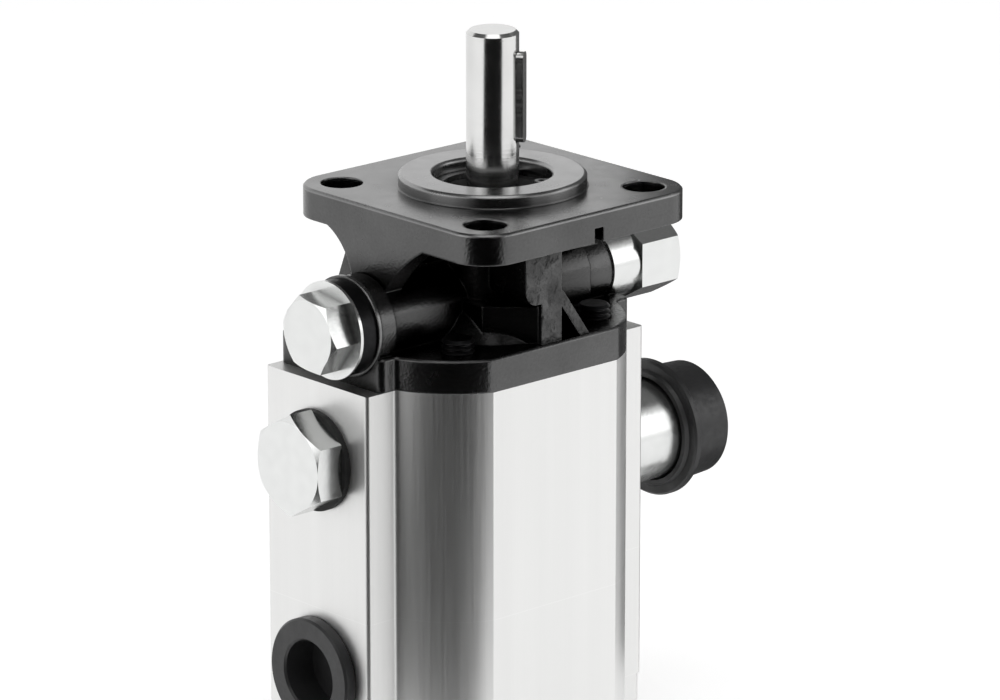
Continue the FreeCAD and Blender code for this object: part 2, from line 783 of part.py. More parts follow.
def drive_shaft():
    """The shaft that carries both drive gears and stands out of the pilot."""
    low = rear_top_z + shaft_end_gap
    top = shaft_stickout
    body = turned([(0, low), (journal_radius, low), (journal_radius, shaft_shoulder_z),
                   (shaft_radius, shaft_shoulder_z), (shaft_radius, top - shaft_tip_chamfer),
                   (shaft_radius - shaft_tip_chamfer, top), (0, top)])
    keyways = [gear_key_block(key_low, key_high, slip_fit) for key_low, key_high in gear_key_spans()]
    keyways.append(shaft_key_block(slip_fit))
    return body.cut(keyways)


def gear_key_spans():
    """The low and high end of each gear key."""
    spans = []
    for width, top_z in ((low_gear_width, low_gear_top_z), (high_gear_width, high_gear_top_z)):
        spans.append((top_z - width + gear_key_end_gap, top_z - gear_key_end_gap))
    return spans


def gear_keys():
    """The two keys under the drive gears."""
    return Part.makeCompound([gear_key_block(low, high, 0) for low, high in gear_key_spans()])


def bearing_block(low, high, gear_side):
    """A double bearing block: it fills the bores beside the gears and carries a bush on each axis."""
    block = figure_eight(pocket_radius - running_fit, low, high)
    cuts = [rod(bush_outer_radius + slip_fit, low, high, 0, y) for y in gear_axes]
    relief_depth = gear_module
    relief_z = (high - relief_depth, high) if gear_side > 0 else (low, low + relief_depth)
    for sx in (-1, 1):
        near, far = sorted((sx * gear_module, sx * pocket_radius))
        cuts.append(box(near, far, mid_y - gear_module, mid_y + gear_module, *relief_z))
    return block.cut(cuts)


def bush(low, high, y):
    """A plain bush on one journal."""
    bore = journal_radius + running_fit
    return ring(bush_outer_radius, bore, low + bush_end_gap, high - bush_end_gap, 0, y)


def block_spans():
    """For each bearing block: its name, low end, high end and the side that its gears are on."""
    low_bottom = low_gear_top_z - low_gear_width
    high_bottom = high_gear_top_z - high_gear_width
    return [
        ("low_pressure_front", low_gear_top_z + face_gap, low_top_z - face_gap, -1),
        ("low_pressure_rear", high_top_z + face_gap, low_bottom - face_gap, 1),
        ("high_pressure_front", high_gear_top_z + face_gap, high_pocket_top_z - face_gap, -1),
        ("high_pressure_rear", rear_top_z + face_gap, high_bottom - face_gap, 1),
    ]


def shaft_seal():
    """The rubber lip seal, dished towards the outside."""
    low = seal_front_z - seal_thickness + slip_fit
    rim = seal_bore_radius - slip_fit
    lip = shaft_radius + running_fit
    dish_z = seal_front_z - seal_dish_depth
    dish_outer = rim - seal_rim_width - seal_dish_slope
    return turned([
        (lip + seal_lip_relief, low), (rim, low), (rim, seal_front_z), (rim - seal_rim_width, seal_front_z),
        (dish_outer, dish_z), (seal_dish_inner_radius, dish_z), (lip, dish_z + seal_lip_drop),
        (lip, low + seal_lip_height)])


def seal_retaining_ring():
    """The open spring ring above the seal, with an eye on each end."""
    low = seal_front_z + face_gap + slip_fit
    high = low + ring_thickness
    band = ring(seal_bore_radius + ring_groove_depth - slip_fit, ring_inner_radius, low, high)
    reach = seal_bore_radius + 2 * ring_groove_depth
    half = math.radians(ring_gap_angle / 2)
    wedge = prism([(0, 0), (reach * math.cos(half), -reach * math.sin(half)),
                   (reach / math.cos(half), 0), (reach * math.cos(half), reach * math.sin(half))], low, high)
    eyes = []
    holes = []
    for side in (-1, 1):
        turn = side * math.radians(ring_gap_angle / 2 + ring_eye_turn)
        x, y = ring_inner_radius * math.cos(turn), ring_inner_radius * math.sin(turn)
        eyes.append(rod(ring_eye_radius, low, high, x, y))
        holes.append(rod(ring_eye_hole_radius, low, high, x, y))
    return joined([band.cut(wedge)] + eyes).cut(holes)


def through_bolts():
    """Four socket-head bolts from the rear cover, screwed through the front cover's base."""
    head_low = rear_face_z + bolt_head_recess
    head_top = head_low + bolt_head_height
    tip = base_top_z + bolt_end_stand
    bolts = []
    for x, y in bolt_places:
        body = turned([
            (0, head_low), (bolt_head_radius - turned_edge, head_low),
            (bolt_head_radius, head_low + turned_edge),
            (bolt_head_radius, head_top), (bolt_radius, head_top), (bolt_radius, tip - bolt_tip_chamfer),
            (bolt_radius - bolt_tip_chamfer, tip), (0, tip)], x, y)
        socket = hexagon(bolt_socket_width, head_low, head_low + bolt_socket_depth, False)
        socket.translate(FreeCAD.Vector(x, y, 0))
        bolts.append(body.cut(socket))
    return Part.makeCompound(bolts)


def dowel_pins():
    """Two dowels across each of the three joints."""
    half = dowel_length / 2
    return Part.makeCompound([rod(dowel_radius, z - half, z + half, x, y)
                              for z in (low_top_z, high_top_z, rear_top_z) for x, y in dowel_places])


def port_plug():
    """The hexagon plug in the spare port."""
    head_inner = plug_washer_thickness
    head = hexagon(plug_width, head_inner, head_inner + plug_thickness)
    stem_end = port_plug_end_gap - port_thread_depth
    stem_radius = port_thread_radius - thread_fit
    stem = turned([(0, stem_end), (stem_radius - thread_lead_in, stem_end),
                   (stem_radius, stem_end + thread_lead_in), (stem_radius, head_inner), (0, head_inner)])
    placed = laid_on_x(joined([head, stem]), -1, mid_y, port_z)
    placed.translate(FreeCAD.Vector(-pad_half_width, 0, 0))
    return placed


def port_plug_washer():
    """The sealing washer under the plug's head."""
    return ring_x(plug_washer_radius, port_thread_radius + slip_fit, -pad_half_width - plug_washer_thickness,
                  -pad_half_width, mid_y, port_z)


def suction_tube():
    """The bare hose tube on the suction port, with a rounded mouth."""
    low = pad_half_width - tube_seat_depth + face_gap
    high = low + tube_length
    inner = tube_radius - tube_wall
    return turned_x([(low, inner), (low, tube_radius), (high - turned_edge, tube_radius),
                     (high, tube_radius - turned_edge), (high, inner)], mid_y, suction_z)


def suction_seal_groove():
    """The groove round the tube's seat for its seal."""
    middle = pad_half_width - tube_seal_inset
    half = tube_seal_wire + seal_groove_slack
    depth = 2 * tube_seal_wire + seal_groove_slack
    return rod_x(tube_radius + depth, middle - half, middle + half, mid_y, suction_z)


def suction_seal():
    """The ring that seals the tube in its seat."""
    centre = FreeCAD.Vector(pad_half_width - tube_seal_inset, mid_y, suction_z)
    ring_radius = tube_radius + slip_fit + tube_seal_wire
    return Part.makeTorus(ring_radius, tube_seal_wire, centre, FreeCAD.Vector(1, 0, 0))


def suction_cap():
    """The moulded cap pushed over the tube: a rim with a lip, and a tapered closed body."""
    bore = tube_radius + suction_cap_fit
    start = suction_cap_x
    rim_end = start + suction_cap_rim
    end = start + suction_cap_length
    body = bore + suction_cap_wall
    tapered = body - suction_cap_taper
    lip_end = start - suction_cap_lip
    rim = suction_cap_rim_radius
    return turned_x([
        (start, bore), (lip_end, bore + moulded_edge), (lip_end, suction_cap_lip_radius - moulded_edge),
        (start, suction_cap_lip_radius), (start, rim - moulded_edge), (start + moulded_edge, rim),
        (rim_end - moulded_edge, rim), (rim_end, rim - moulded_edge), (rim_end, body),
        (end - suction_cap_corner, tapered), (end, tapered - suction_cap_corner), (end, 0),
        (end - suction_cap_end, 0), (end - suction_cap_end, bore)], mid_y, suction_z)


def outlet_cap():
    """The moulded cap pushed into the outlet port: a rim round a deep recess."""
    face = -pad_half_width - outlet_cap_seat_gap
    outer = face - outlet_cap_rim
    stem = outlet_thread_radius - outlet_cap_stem_fit
    recess = stem - outlet_cap_wall
    tip = -pad_half_width + outlet_cap_depth
    rim = outlet_cap_rim_radius
    return turned_x([
        (outer, recess + moulded_edge), (outer, rim - moulded_edge), (outer + moulded_edge, rim),
        (face, rim), (face, stem), (tip - outlet_cap_lead_in, stem), (tip, stem - moulded_edge), (tip, 0),
        (tip - outlet_cap_wall, 0), (tip - outlet_cap_wall, recess), (outer + moulded_edge, recess)],
        mid_y, outlet_z)


def check_plug():
    """The hexagon plug that closes the check valve, hollow for the spring."""
    flange_inner = check_collar_gap
    flange_outer = flange_inner + check_plug_flange
    head = hexagon(check_plug_width, flange_outer, flange_outer + check_plug_hex)
    disc = rod(check_plug_flange_radius, flange_inner, flange_outer)
    stem = rod(check_bore_radius - thread_fit, face_gap - check_bore_depth, flange_inner)
    pocket = rod(check_pocket_radius, face_gap - check_bore_depth, check_pocket_depth - check_bore_depth)
    placed = laid_on_x(joined([head, disc, stem]).cut(pocket), -1, valve_y, valve_z, check_plug_turn)
    placed.translate(FreeCAD.Vector(left_boss_x, 0, 0))
    return placed


def check_plug_collar():
    """The rubber collar between the plug's flange and the boss."""
    bore = check_bore_radius + slip_fit
    return ring_x(check_collar_radius, bore, left_boss_x - check_collar_gap, left_boss_x, valve_y, valve_z)


def check_poppet():
    """The sliding check poppet, coned towards its seat."""
    radius = check_guide_radius - running_fit
    seat = check_seat_x - check_poppet_gap
    back = seat - check_poppet_length
    return turned_x([(back, 0), (back, radius), (seat - check_poppet_cone, radius),
                     (seat, check_seat_radius - turned_edge), (seat, 0)], valve_y, valve_z)


def coil_spring(radius, start, length):
    """A coil spring along X on the valve axis."""
    pitch = (length - 2 * spring_wire_radius) / spring_turns
    path = Part.makeHelix(pitch, pitch * spring_turns, radius)
    start_point = FreeCAD.Vector(radius, 0, 0)
    section = Part.Wire(Part.makeCircle(spring_wire_radius, start_point, FreeCAD.Vector(0, 1, 0)))
    coil = Part.Wire(path.Edges).makePipeShell([section], True, True)
    placed = laid_on_x(coil, 1, valve_y, valve_z)
    placed.translate(FreeCAD.Vector(start + spring_wire_radius, 0, 0))
    return placed


def check_spring():
    """The spring that closes the check poppet."""
    floor = left_boss_x + check_bore_depth - check_pocket_depth
    back = check_seat_x - check_poppet_gap - check_poppet_length
    start = floor + face_gap
    return coil_spring(check_spring_radius, start, back - face_gap - start)


def unloader_sleeve():
    """The plated sleeve that is screwed into the boss and guides the spring."""
    low = unloader_guide_end + face_gap
    return ring_x(unloader_sleeve_radius, unloader_sleeve_bore, low, unloader_sleeve_end, valve_y, valve_z)


def unloader_cap():
    """The closed hexagon cap on the end of the sleeve."""
    end = unloader_sleeve_end + unloader_hex_length
    head = hexagon(unloader_hex_width, unloader_sleeve_end, end)
    hollow = rod(unloader_sleeve_bore, unloader_sleeve_end, end - unloader_hex_wall)
    return laid_on_x(head.cut(hollow), 1, valve_y, valve_z)


def unloader_spool():
    """The sliding unloader spool, grooved once round its middle."""
    low = unloader_seat_x + check_poppet_gap
    high = low + unloader_spool_length
    radius = unloader_guide_radius - unloader_spool_fit
    groove_low = (low + high - unloader_spool_groove) / 2
    groove_high = groove_low + unloader_spool_groove
    waist = radius - unloader_spool_groove_depth
    return turned_x([
        (low, 0), (low, radius - unloader_spool_edge), (low + unloader_spool_edge, radius),
        (groove_low, radius), (groove_low, waist), (groove_high, waist), (groove_high, radius),
        (high, radius), (high, 0)], valve_y, valve_z)


def unloader_spring():
    """The spring that holds the unloader spool on its seat."""
    start = unloader_seat_x + check_poppet_gap + unloader_spool_length + face_gap
    return coil_spring(unloader_spring_radius, start, unloader_spring_length)


def unloader_screw():
    """The setting screw that loads the unloader spring, under the cap."""
    spool_end = unloader_seat_x + check_poppet_gap + unloader_spool_length
    low = spool_end + unloader_spring_length + 2 * face_gap
    high = low + unloader_screw_length
    half_slot = unloader_screw_slot / 2
    body = rod_x(unloader_screw_radius, low, high, valve_y, valve_z)
    slot = box(high - unloader_screw_slot, high, valve_y - half_slot, valve_y + half_slot,
               valve_z - unloader_screw_radius, valve_z + unloader_screw_radius)
    return body.cut(slot)


def all_parts():
    """Every named piece of the pump."""
    journal_end = bush_end_gap * 2
    parts = {
        "front_cover": front_cover(),
        "low_pressure_housing": low_pressure_housing(),
        "high_pressure_housing": high_pressure_housing(),
        "rear_cover": rear_cover(),
        "shaft_seal": shaft_seal(),
        "seal_retaining_ring": seal_retaining_ring(),
        "front_bush": ring(bush_outer_radius, journal_radius + running_fit, low_top_z + bush_end_gap,
                           low_top_z + front_bush_length),
        "front_joint_seal": joint_seal(low_top_z),
        "middle_joint_seal": joint_seal(high_top_z),
        "rear_joint_seal": joint_seal(rear_top_z),
        "gallery_seals": gallery_seals(),
        "through_bolts": through_bolts(),
        "dowel_pins": dowel_pins(),
        "port_plug": port_plug(),
        "port_plug_washer": port_plug_washer(),
        "suction_tube": suction_tube(),
        "suction_tube_seal": suction_seal(),
        "suction_cap": suction_cap(),
        "outlet_cap": outlet_cap(),
        "check_plug": check_plug(),
        "check_plug_collar": check_plug_collar(),
        "check_poppet": check_poppet(),
        "check_spring": check_spring(),
        "unloader_sleeve": unloader_sleeve(),
        "unloader_cap": unloader_cap(),
        "unloader_screw": unloader_screw(),
        "unloader_spring": unloader_spring(),
        "unloader_spool": unloader_spool(),
        "drive_shaft": drive_shaft(),
        "shaft_key": shaft_key(),
        "gear_keys": gear_keys(),
        "low_pressure_drive_gear": drive_gear(low_gear_width, low_gear_top_z),
        "high_pressure_drive_gear": drive_gear(high_gear_width, high_gear_top_z),
        "low_pressure_driven_gear": driven_gear(low_gear_width, low_gear_top_z,
                                                low_top_z - journal_end, high_top_z + journal_end),
        "high_pressure_driven_gear": driven_gear(high_gear_width, high_gear_top_z,
                                                 high_pocket_top_z - journal_end, rear_top_z + journal_end),
    }
    for name, low, high, gear_side in block_spans():
        parts[name + "_bearing_block"] = bearing_block(low, high, gear_side)
        parts[name + "_drive_bush"] = bush(low, high, 0)
        parts[name + "_driven_bush"] = bush(low, high, centre_distance)
    return parts


os.makedirs("parts", exist_ok=True)
for node, shape in all_parts().items():
    shape.exportStep("parts/" + node + ".step")
    print(node, len(shape.Solids), shape.isValid(), round(shape.Volume))
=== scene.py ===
"""Finishes, small details, studio and camera for a two-stage gear pump."""

import json
import math

import bpy
from bpy.props import FloatProperty, FloatVectorProperty, IntProperty, PointerProperty
from mathutils import Matrix, Vector


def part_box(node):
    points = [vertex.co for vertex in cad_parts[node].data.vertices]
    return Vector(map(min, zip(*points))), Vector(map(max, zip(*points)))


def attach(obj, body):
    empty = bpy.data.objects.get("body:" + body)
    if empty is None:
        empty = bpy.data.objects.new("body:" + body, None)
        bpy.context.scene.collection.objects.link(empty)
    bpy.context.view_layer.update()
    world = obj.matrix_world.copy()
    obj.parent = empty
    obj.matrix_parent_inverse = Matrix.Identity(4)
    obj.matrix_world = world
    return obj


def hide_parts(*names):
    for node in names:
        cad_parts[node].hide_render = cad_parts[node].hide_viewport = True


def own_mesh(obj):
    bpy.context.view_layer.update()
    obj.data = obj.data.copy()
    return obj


bl_info = {
    "name": "Gear Pump Finishes",
    "version": (1, 0, 0),
    "blender": (4, 5, 0),
    "location": "View3D > Sidebar > Gear Pump",
    "description": "Cast, machined, plated and moulded finishes for a two-stage gear pump, with its studio",
    "category": "Object",
}

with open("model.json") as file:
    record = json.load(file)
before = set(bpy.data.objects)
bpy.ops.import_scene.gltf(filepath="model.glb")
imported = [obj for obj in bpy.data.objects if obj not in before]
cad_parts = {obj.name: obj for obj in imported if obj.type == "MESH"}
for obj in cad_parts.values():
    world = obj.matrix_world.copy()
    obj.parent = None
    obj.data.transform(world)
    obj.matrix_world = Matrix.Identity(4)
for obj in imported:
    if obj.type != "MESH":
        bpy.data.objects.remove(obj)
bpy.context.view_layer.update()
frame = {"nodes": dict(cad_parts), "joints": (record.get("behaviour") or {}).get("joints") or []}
nodes = frame["nodes"]
MM = 0.001
BOLT_STANDS_OUT = 3.5 * MM
MERGE_WITHIN = 0.001 * MM
FAR_OUTSIDE = 1.0
# Where a thread's root begins and ends and where its crest begins, as shares of the pitch.
ROOT_START, ROOT_END, CREST_START = 0.44, 0.56, 0.94
# Each lamp's name, place and side in metres, and the setting that holds its power.
LAMPS = (("overhead_lamp", (-0.25, -0.35, 0.95), 0.7, "key_light"),
         ("left_lamp", (-0.95, 0.25, 0.35), 0.6, "side_light"),
         ("right_lamp", (0.75, -0.7, 0.3), 0.6, "side_light"))

cover_low, cover_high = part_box("front_cover")
shaft_low, shaft_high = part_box("drive_shaft")
rear_low, rear_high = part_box("rear_cover")
housing_low, housing_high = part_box("low_pressure_housing")
bolts_low, bolts_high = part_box("through_bolts")
base_top = bolts_high.z - BOLT_STANDS_OUT


def linear(hex_colour):
    """An sRGB hex colour as the linear numbers that Blender's sockets take."""
    channels = [int(hex_colour[i:i + 2], 16) / 255 for i in (1, 3, 5)]
    return [c / 12.92 if c <= 0.04045 else ((c + 0.055) / 1.055) ** 2.4 for c in channels]


def colour(name, description, hex_colour):
    """A colour that the user can change, with its usual value."""
    return FloatVectorProperty(name=name, description=description, subtype="COLOR", size=3, min=0.0, max=1.0,
                               default=linear(hex_colour))


def length(name, description, millimetres):
    """A length that the user can change, stated here in millimetres."""
    return FloatProperty(name=name, description=description, subtype="DISTANCE", unit="LENGTH", min=0.0,
                         default=millimetres * MM)


def reach(name, description, millimetres):
    """Two lengths that the user can change, to the left and to the right, stated here in millimetres."""
    return FloatVectorProperty(name=name, description=description, subtype="NONE", unit="LENGTH", size=2,
                               default=[value * MM for value in millimetres])


def shade(name, description, share):
    """A share of the light, from 0 for black to 1 for white, that the user can change."""
    return FloatProperty(name=name, description=description, subtype="FACTOR", min=0.0, max=1.0, default=share)


class PumpColours(bpy.types.PropertyGroup):
    """The colours of the pump's own finishes, and of the painted shade in the iron's hollows."""

    cast_skin: colour("Cast skin", "Grey iron as it left the sand mould", "#606060")
    machined_iron: colour("Machined iron", "Grey iron where a cutter has been", "#808080")
    pilot_iron: colour("Pilot iron", "The pilot, turned with a finer feed", "#9A9A9A")
    # Lighter colour on the iron's sharp edges, partly rubbed wear and partly painted highlight; also the springs' own
    # grey.
    pale_grey: colour("Worn edge", "Grey metal on the corners that handling has rubbed", "#A4A4A4")
    aluminium: colour("Aluminium", "Milled and drawn aluminium sections", "#E7E7E6")
    plating: colour("Plating", "Bright zinc over steel", "#E2E3E2")
    ground_steel: colour("Ground steel", "The shaft, gears and valve pieces", "#DCDCDB")
    black_oxide: colour("Black oxide", "Blackened socket bolts", "#2A2A2B")
    bronze: colour("Bronze", "Bearing bushes", "#B08A4E")
    rubber: colour("Rubber", "Seals", "#161616")
    plastic: colour("Plastic", "Moulded shipping caps", "#242425")
    # Painted shade: the near-black that the iron darkens to in hollows and under the flange, where shade falls.
    hollow_shade: colour("Dirt", "Oil and dust that sit in the cast hollows", "#141312")


class PumpGrain(bpy.types.PropertyGroup):
    """Real spacings that the finishes draw."""

    sand_grain: length("Sand grain", "Grit of the mould on the cast skin", 0.7)
    core_lumps: length("Core lumps", "Lumps where two sand cores met on the front rib", 4.5)
    facing_pitch: length("Facing pitch", "Spacing of the turning marks on the flange", 0.55)
    drawing_pitch: length("Drawing pitch", "Spacing of the lines along the aluminium sections", 0.5)
    grinding_pitch: length("Grinding pitch", "Spacing of the marks round the shaft", 0.25)


class PumpBolts(bpy.types.PropertyGroup):
    """Sizes of the four socket-head bolts."""

    head_radius: length("Head radius", "Radius of the knurled head", 6.5)
    head_height: length("Head height", "Height of the head", 8.0)
    head_chamfer: length("Head chamfer", "Chamfer round the head's end", 0.6)
    shank_radius: length("Shank radius", "Radius of the shank, over the thread", 4.0)
    thread_pitch: length("Thread pitch", "From one thread crest to the next", 1.25)
    thread_depth: length("Thread depth", "From the thread's crest to its root", 0.68)
    thread_length: length("Thread length", "Length of the cut thread below the bolt's end", 10.0)
    socket_width: length("Socket width", "Across the flats of the hexagon socket", 6.0)
    socket_depth: length("Socket depth", "Depth of the hexagon socket", 4.0)
    knurl_depth: length("Knurl depth", "Depth of the grooves round the head", 0.25)
    knurls: IntProperty(name="Knurls", description="Grooves round the head", default=48, min=12)


class PumpValve(bpy.types.PropertyGroup):
    """Sizes of the pieces at the two ends of the valve boss."""

    sleeve_bore: length("Sleeve bore", "Radius of the bore for the spring", 5.4)
    shoulder_radius: length("Shoulder radius", "Radius of the sleeve outside the boss", 9.1)
    shoulder_length: length("Shoulder length", "Length of the sleeve outside the boss", 9.5)
    shoulder_edge: length("Shoulder edge", "Chamfer where the shoulder meets the boss", 0.6)
    seat_gap: length("Seat gap", "Gap between the shoulder and the cover's scallop", 0.4)
    plug_turn: FloatProperty(name="Plug turn", description="How far the check plug's hexagon is turned to tighten it",
                             subtype="ANGLE", unit="ROTATION", default=math.radians(15.5))


class PumpStudio(bpy.types.PropertyGroup):
    """The camera, lamps, cards and floor round the pump."""

    camera_turn: FloatProperty(name="Camera turn", description="Direction of the camera round the shaft",
                               subtype="ANGLE", unit="ROTATION", default=math.radians(-42.33))
    camera_rise: FloatProperty(name="Camera rise", description="Height of the camera above the flange's level",
                               subtype="ANGLE", unit="ROTATION", default=math.radians(16.62))
    camera_distance: length("Camera distance", "From the camera to the flange's centre", 1466.8)
    lens: FloatProperty(name="Lens", description="Focal length in millimetres", default=221.3, min=1.0)
    camera_right: length("Camera right", "How far right of the flange's centre the camera looks", 1.77)
    camera_below: length("Camera below", "How far below the flange's centre the camera looks", 39.49)
    floor_size: length("Floor size", "Side of the square floor", 12000.0)
    floor: colour("Floor", "Matt pale floor", "#F4F4F4")
    floor_glow: FloatProperty(name="Floor glow", description="How much whiter the paper is seen than it is lit",
                              default=0.4, min=0.0)
    world_light: FloatProperty(name="World light", description="Strength of the light from all round", default=0.6,
                               min=0.0)
    key_light: FloatProperty(name="Key light", description="Power of the large lamp overhead", subtype="POWER",
                             unit="POWER", default=2.4, min=0.0)
    side_light: FloatProperty(name="Side light", description="Power of each side lamp", subtype="POWER",
                              unit="POWER", default=0.8, min=0.0)
    card_foot: length("Card foot", "From the shaft to the near card's lower edge", 75.0)
    card_head: length("Card head", "From the shaft to the upper edge of both cards", 420.0)
    card_top: length("Card top", "Height of the near card's upper edge above the flange", 300.0)
    near_card_foot: reach("Near card's foot", "How far its lower edge reaches left and right", (150.0, 10.0))
    near_card_head: reach("Near card's head", "How far its upper edge reaches left and right", (81.0, 510.0))
    right_card_foot: reach("Right card's foot", "How far its lower edge reaches left and right", (45.0, 45.0))
    right_card_head: reach("Right card's head", "How far its upper edge reaches left and right", (215.0, 215.0))
    right_card_away: length("Right card's distance", "From the shaft to the right card's lower edge", 105.0)
    right_card_top: length("Right card's height", "Height of the right card's upper edge above the flange", 520.0)
    ceiling_height: length("Ceiling height", "Height of the grey ceiling above the flange", 1100.0)
    ceiling_size: length("Ceiling size", "Side of the square grey ceiling", 2400.0)
    near_card_shade: shade("Near card's shade", "Reflectance of the near card's black flock", 0.012)
    near_foot_shade: shade("Near card's foot shade", "Reflectance of the near card at the floor", 0.1)
    fade_start: length("Fade start", "Height above the floor where the near card starts to darken", 30.0)
    fade_end: length("Fade end", "Height above the floor where the near card is darkest", 95.0)
    grey_shade: shade("Grey shade", "Reflectance of the right card and the ceiling", 0.19)
    right_card_turn: FloatProperty(name="Right card turn", description="Direction of the right card round the shaft",
                                   subtype="ANGLE", unit="ROTATION", default=math.radians(12.0))


def add_node(tree, kind, sockets=None, **settings):
    """Adds a node with its settings, fills its sockets with links or values, and returns its outputs."""
    node = tree.nodes.new(kind)
    for name, value in settings.items():
        setattr(node, name, value)
    for name, value in (sockets or {}).items():
        if isinstance(value, bpy.types.NodeSocket):
            tree.links.new(value, node.inputs[name])
        else:
            node.inputs[name].default_value = value
    return node.outputs


def start_finish(name, metallic, roughness):
    """A new material: returns it, its node tree, its shader and the piece's own coordinates."""
    finish = bpy.data.materials.new(name)
    finish.use_nodes = True
    tree = finish.node_tree
    shader = tree.nodes["Principled BSDF"]
    shader.inputs["Metallic"].default_value = metallic
    shader.inputs["Roughness"].default_value = roughness
    return finish, tree, shader, add_node(tree, "ShaderNodeTexCoord")["Object"]


def patches(tree, place, size, low, high, detail=4.0):
    """Random patches of one real size, with values from low to high."""
    noise = add_node(tree, "ShaderNodeTexNoise", {"Vector": place, "Scale": 1.0 / size, "Detail": detail})
    return add_node(tree, "ShaderNodeMapRange", {"Value": noise["Fac"], "From Min": 0.3, "From Max": 0.7,
                                                 "To Min": low, "To Max": high})["Result"]


def tool_lines(tree, place, stretch, pitch, low, high):
    """Lines that a tool or a die leaves: patches drawn out by a stretch along each axis."""
    drawn = add_node(tree, "ShaderNodeMapping", {"Vector": place, "Scale": stretch})
    return patches(tree, drawn["Vector"], pitch, low, high, detail=2.0)


def inside_box(tree, place, low, high):
    """Is 1 between two corners and 0 outside them."""
    middle = [(a + b) / 2 for a, b in zip(low, high)]
    half = [(b - a) / 2 for a, b in zip(low, high)]
    away = add_node(tree, "ShaderNodeVectorMath", {0: place, 1: middle}, operation="SUBTRACT")["Vector"]
    away = add_node(tree, "ShaderNodeVectorMath", {0: away}, operation="ABSOLUTE")["Vector"]
    past = add_node(tree, "ShaderNodeVectorMath", {0: away, 1: half}, operation="SUBTRACT")["Vector"]
    axes = add_node(tree, "ShaderNodeSeparateXYZ", {"Vector": past})
    furthest = add_node(tree, "ShaderNodeMath", {0: axes["X"], 1: axes["Y"]}, operation="MAXIMUM")["Value"]
    furthest = add_node(tree, "ShaderNodeMath", {0: furthest, 1: axes["Z"]}, operation="MAXIMUM")["Value"]
    return add_node(tree, "ShaderNodeMath", {0: furthest, 1: 0.0}, operation="LESS_THAN")["Value"]


def open_to_light(tree, distance, dark, bright, low=0.0):
    """Is 1 in the open and falls to low in hollows, where less than the dark share of the light comes in."""
    hollow = add_node(tree, "ShaderNodeAmbientOcclusion", {"Distance": distance}, samples=6)
    return add_node(tree, "ShaderNodeMapRange", {"Value": hollow["AO"], "From Min": dark, "From Max": bright,
                                                 "To Min": low})["Result"]


def rubbed_and_highlit_edges(tree, radius, strength):
    """Rises to the strength on sharp outer edges: partly where handling has rubbed the surface, partly a painted
    highlight along the edges.
    """
    rounded = add_node(tree, "ShaderNodeBevel", {"Radius": radius}, samples=6)["Normal"]
    flat = add_node(tree, "ShaderNodeNewGeometry")["Normal"]
    turn = add_node(tree, "ShaderNodeVectorMath", {0: rounded, 1: flat}, operation="DOT_PRODUCT")["Value"]
    edge = add_node(tree, "ShaderNodeMapRange", {"Value": turn, "From Min": 0.995, "From Max": 0.86,
                                                 "To Max": strength})["Result"]
    outer = open_to_light(tree, 3.0 * radius, 0.45, 0.75)
    return add_node(tree, "ShaderNodeMath", {0: edge, 1: outer}, operation="MULTIPLY")["Value"]


def join(tree, shader, base=None, roughness=None, normal=None):
    """Links what has been worked out to the shader."""
    for socket, value in (("Base Color", base), ("Roughness", roughness), ("Normal", normal)):
        if value is not None:
            tree.links.new(value, shader.inputs[socket])


def rgba(value):
    """A colour property with full alpha."""
    return (*value, 1.0)


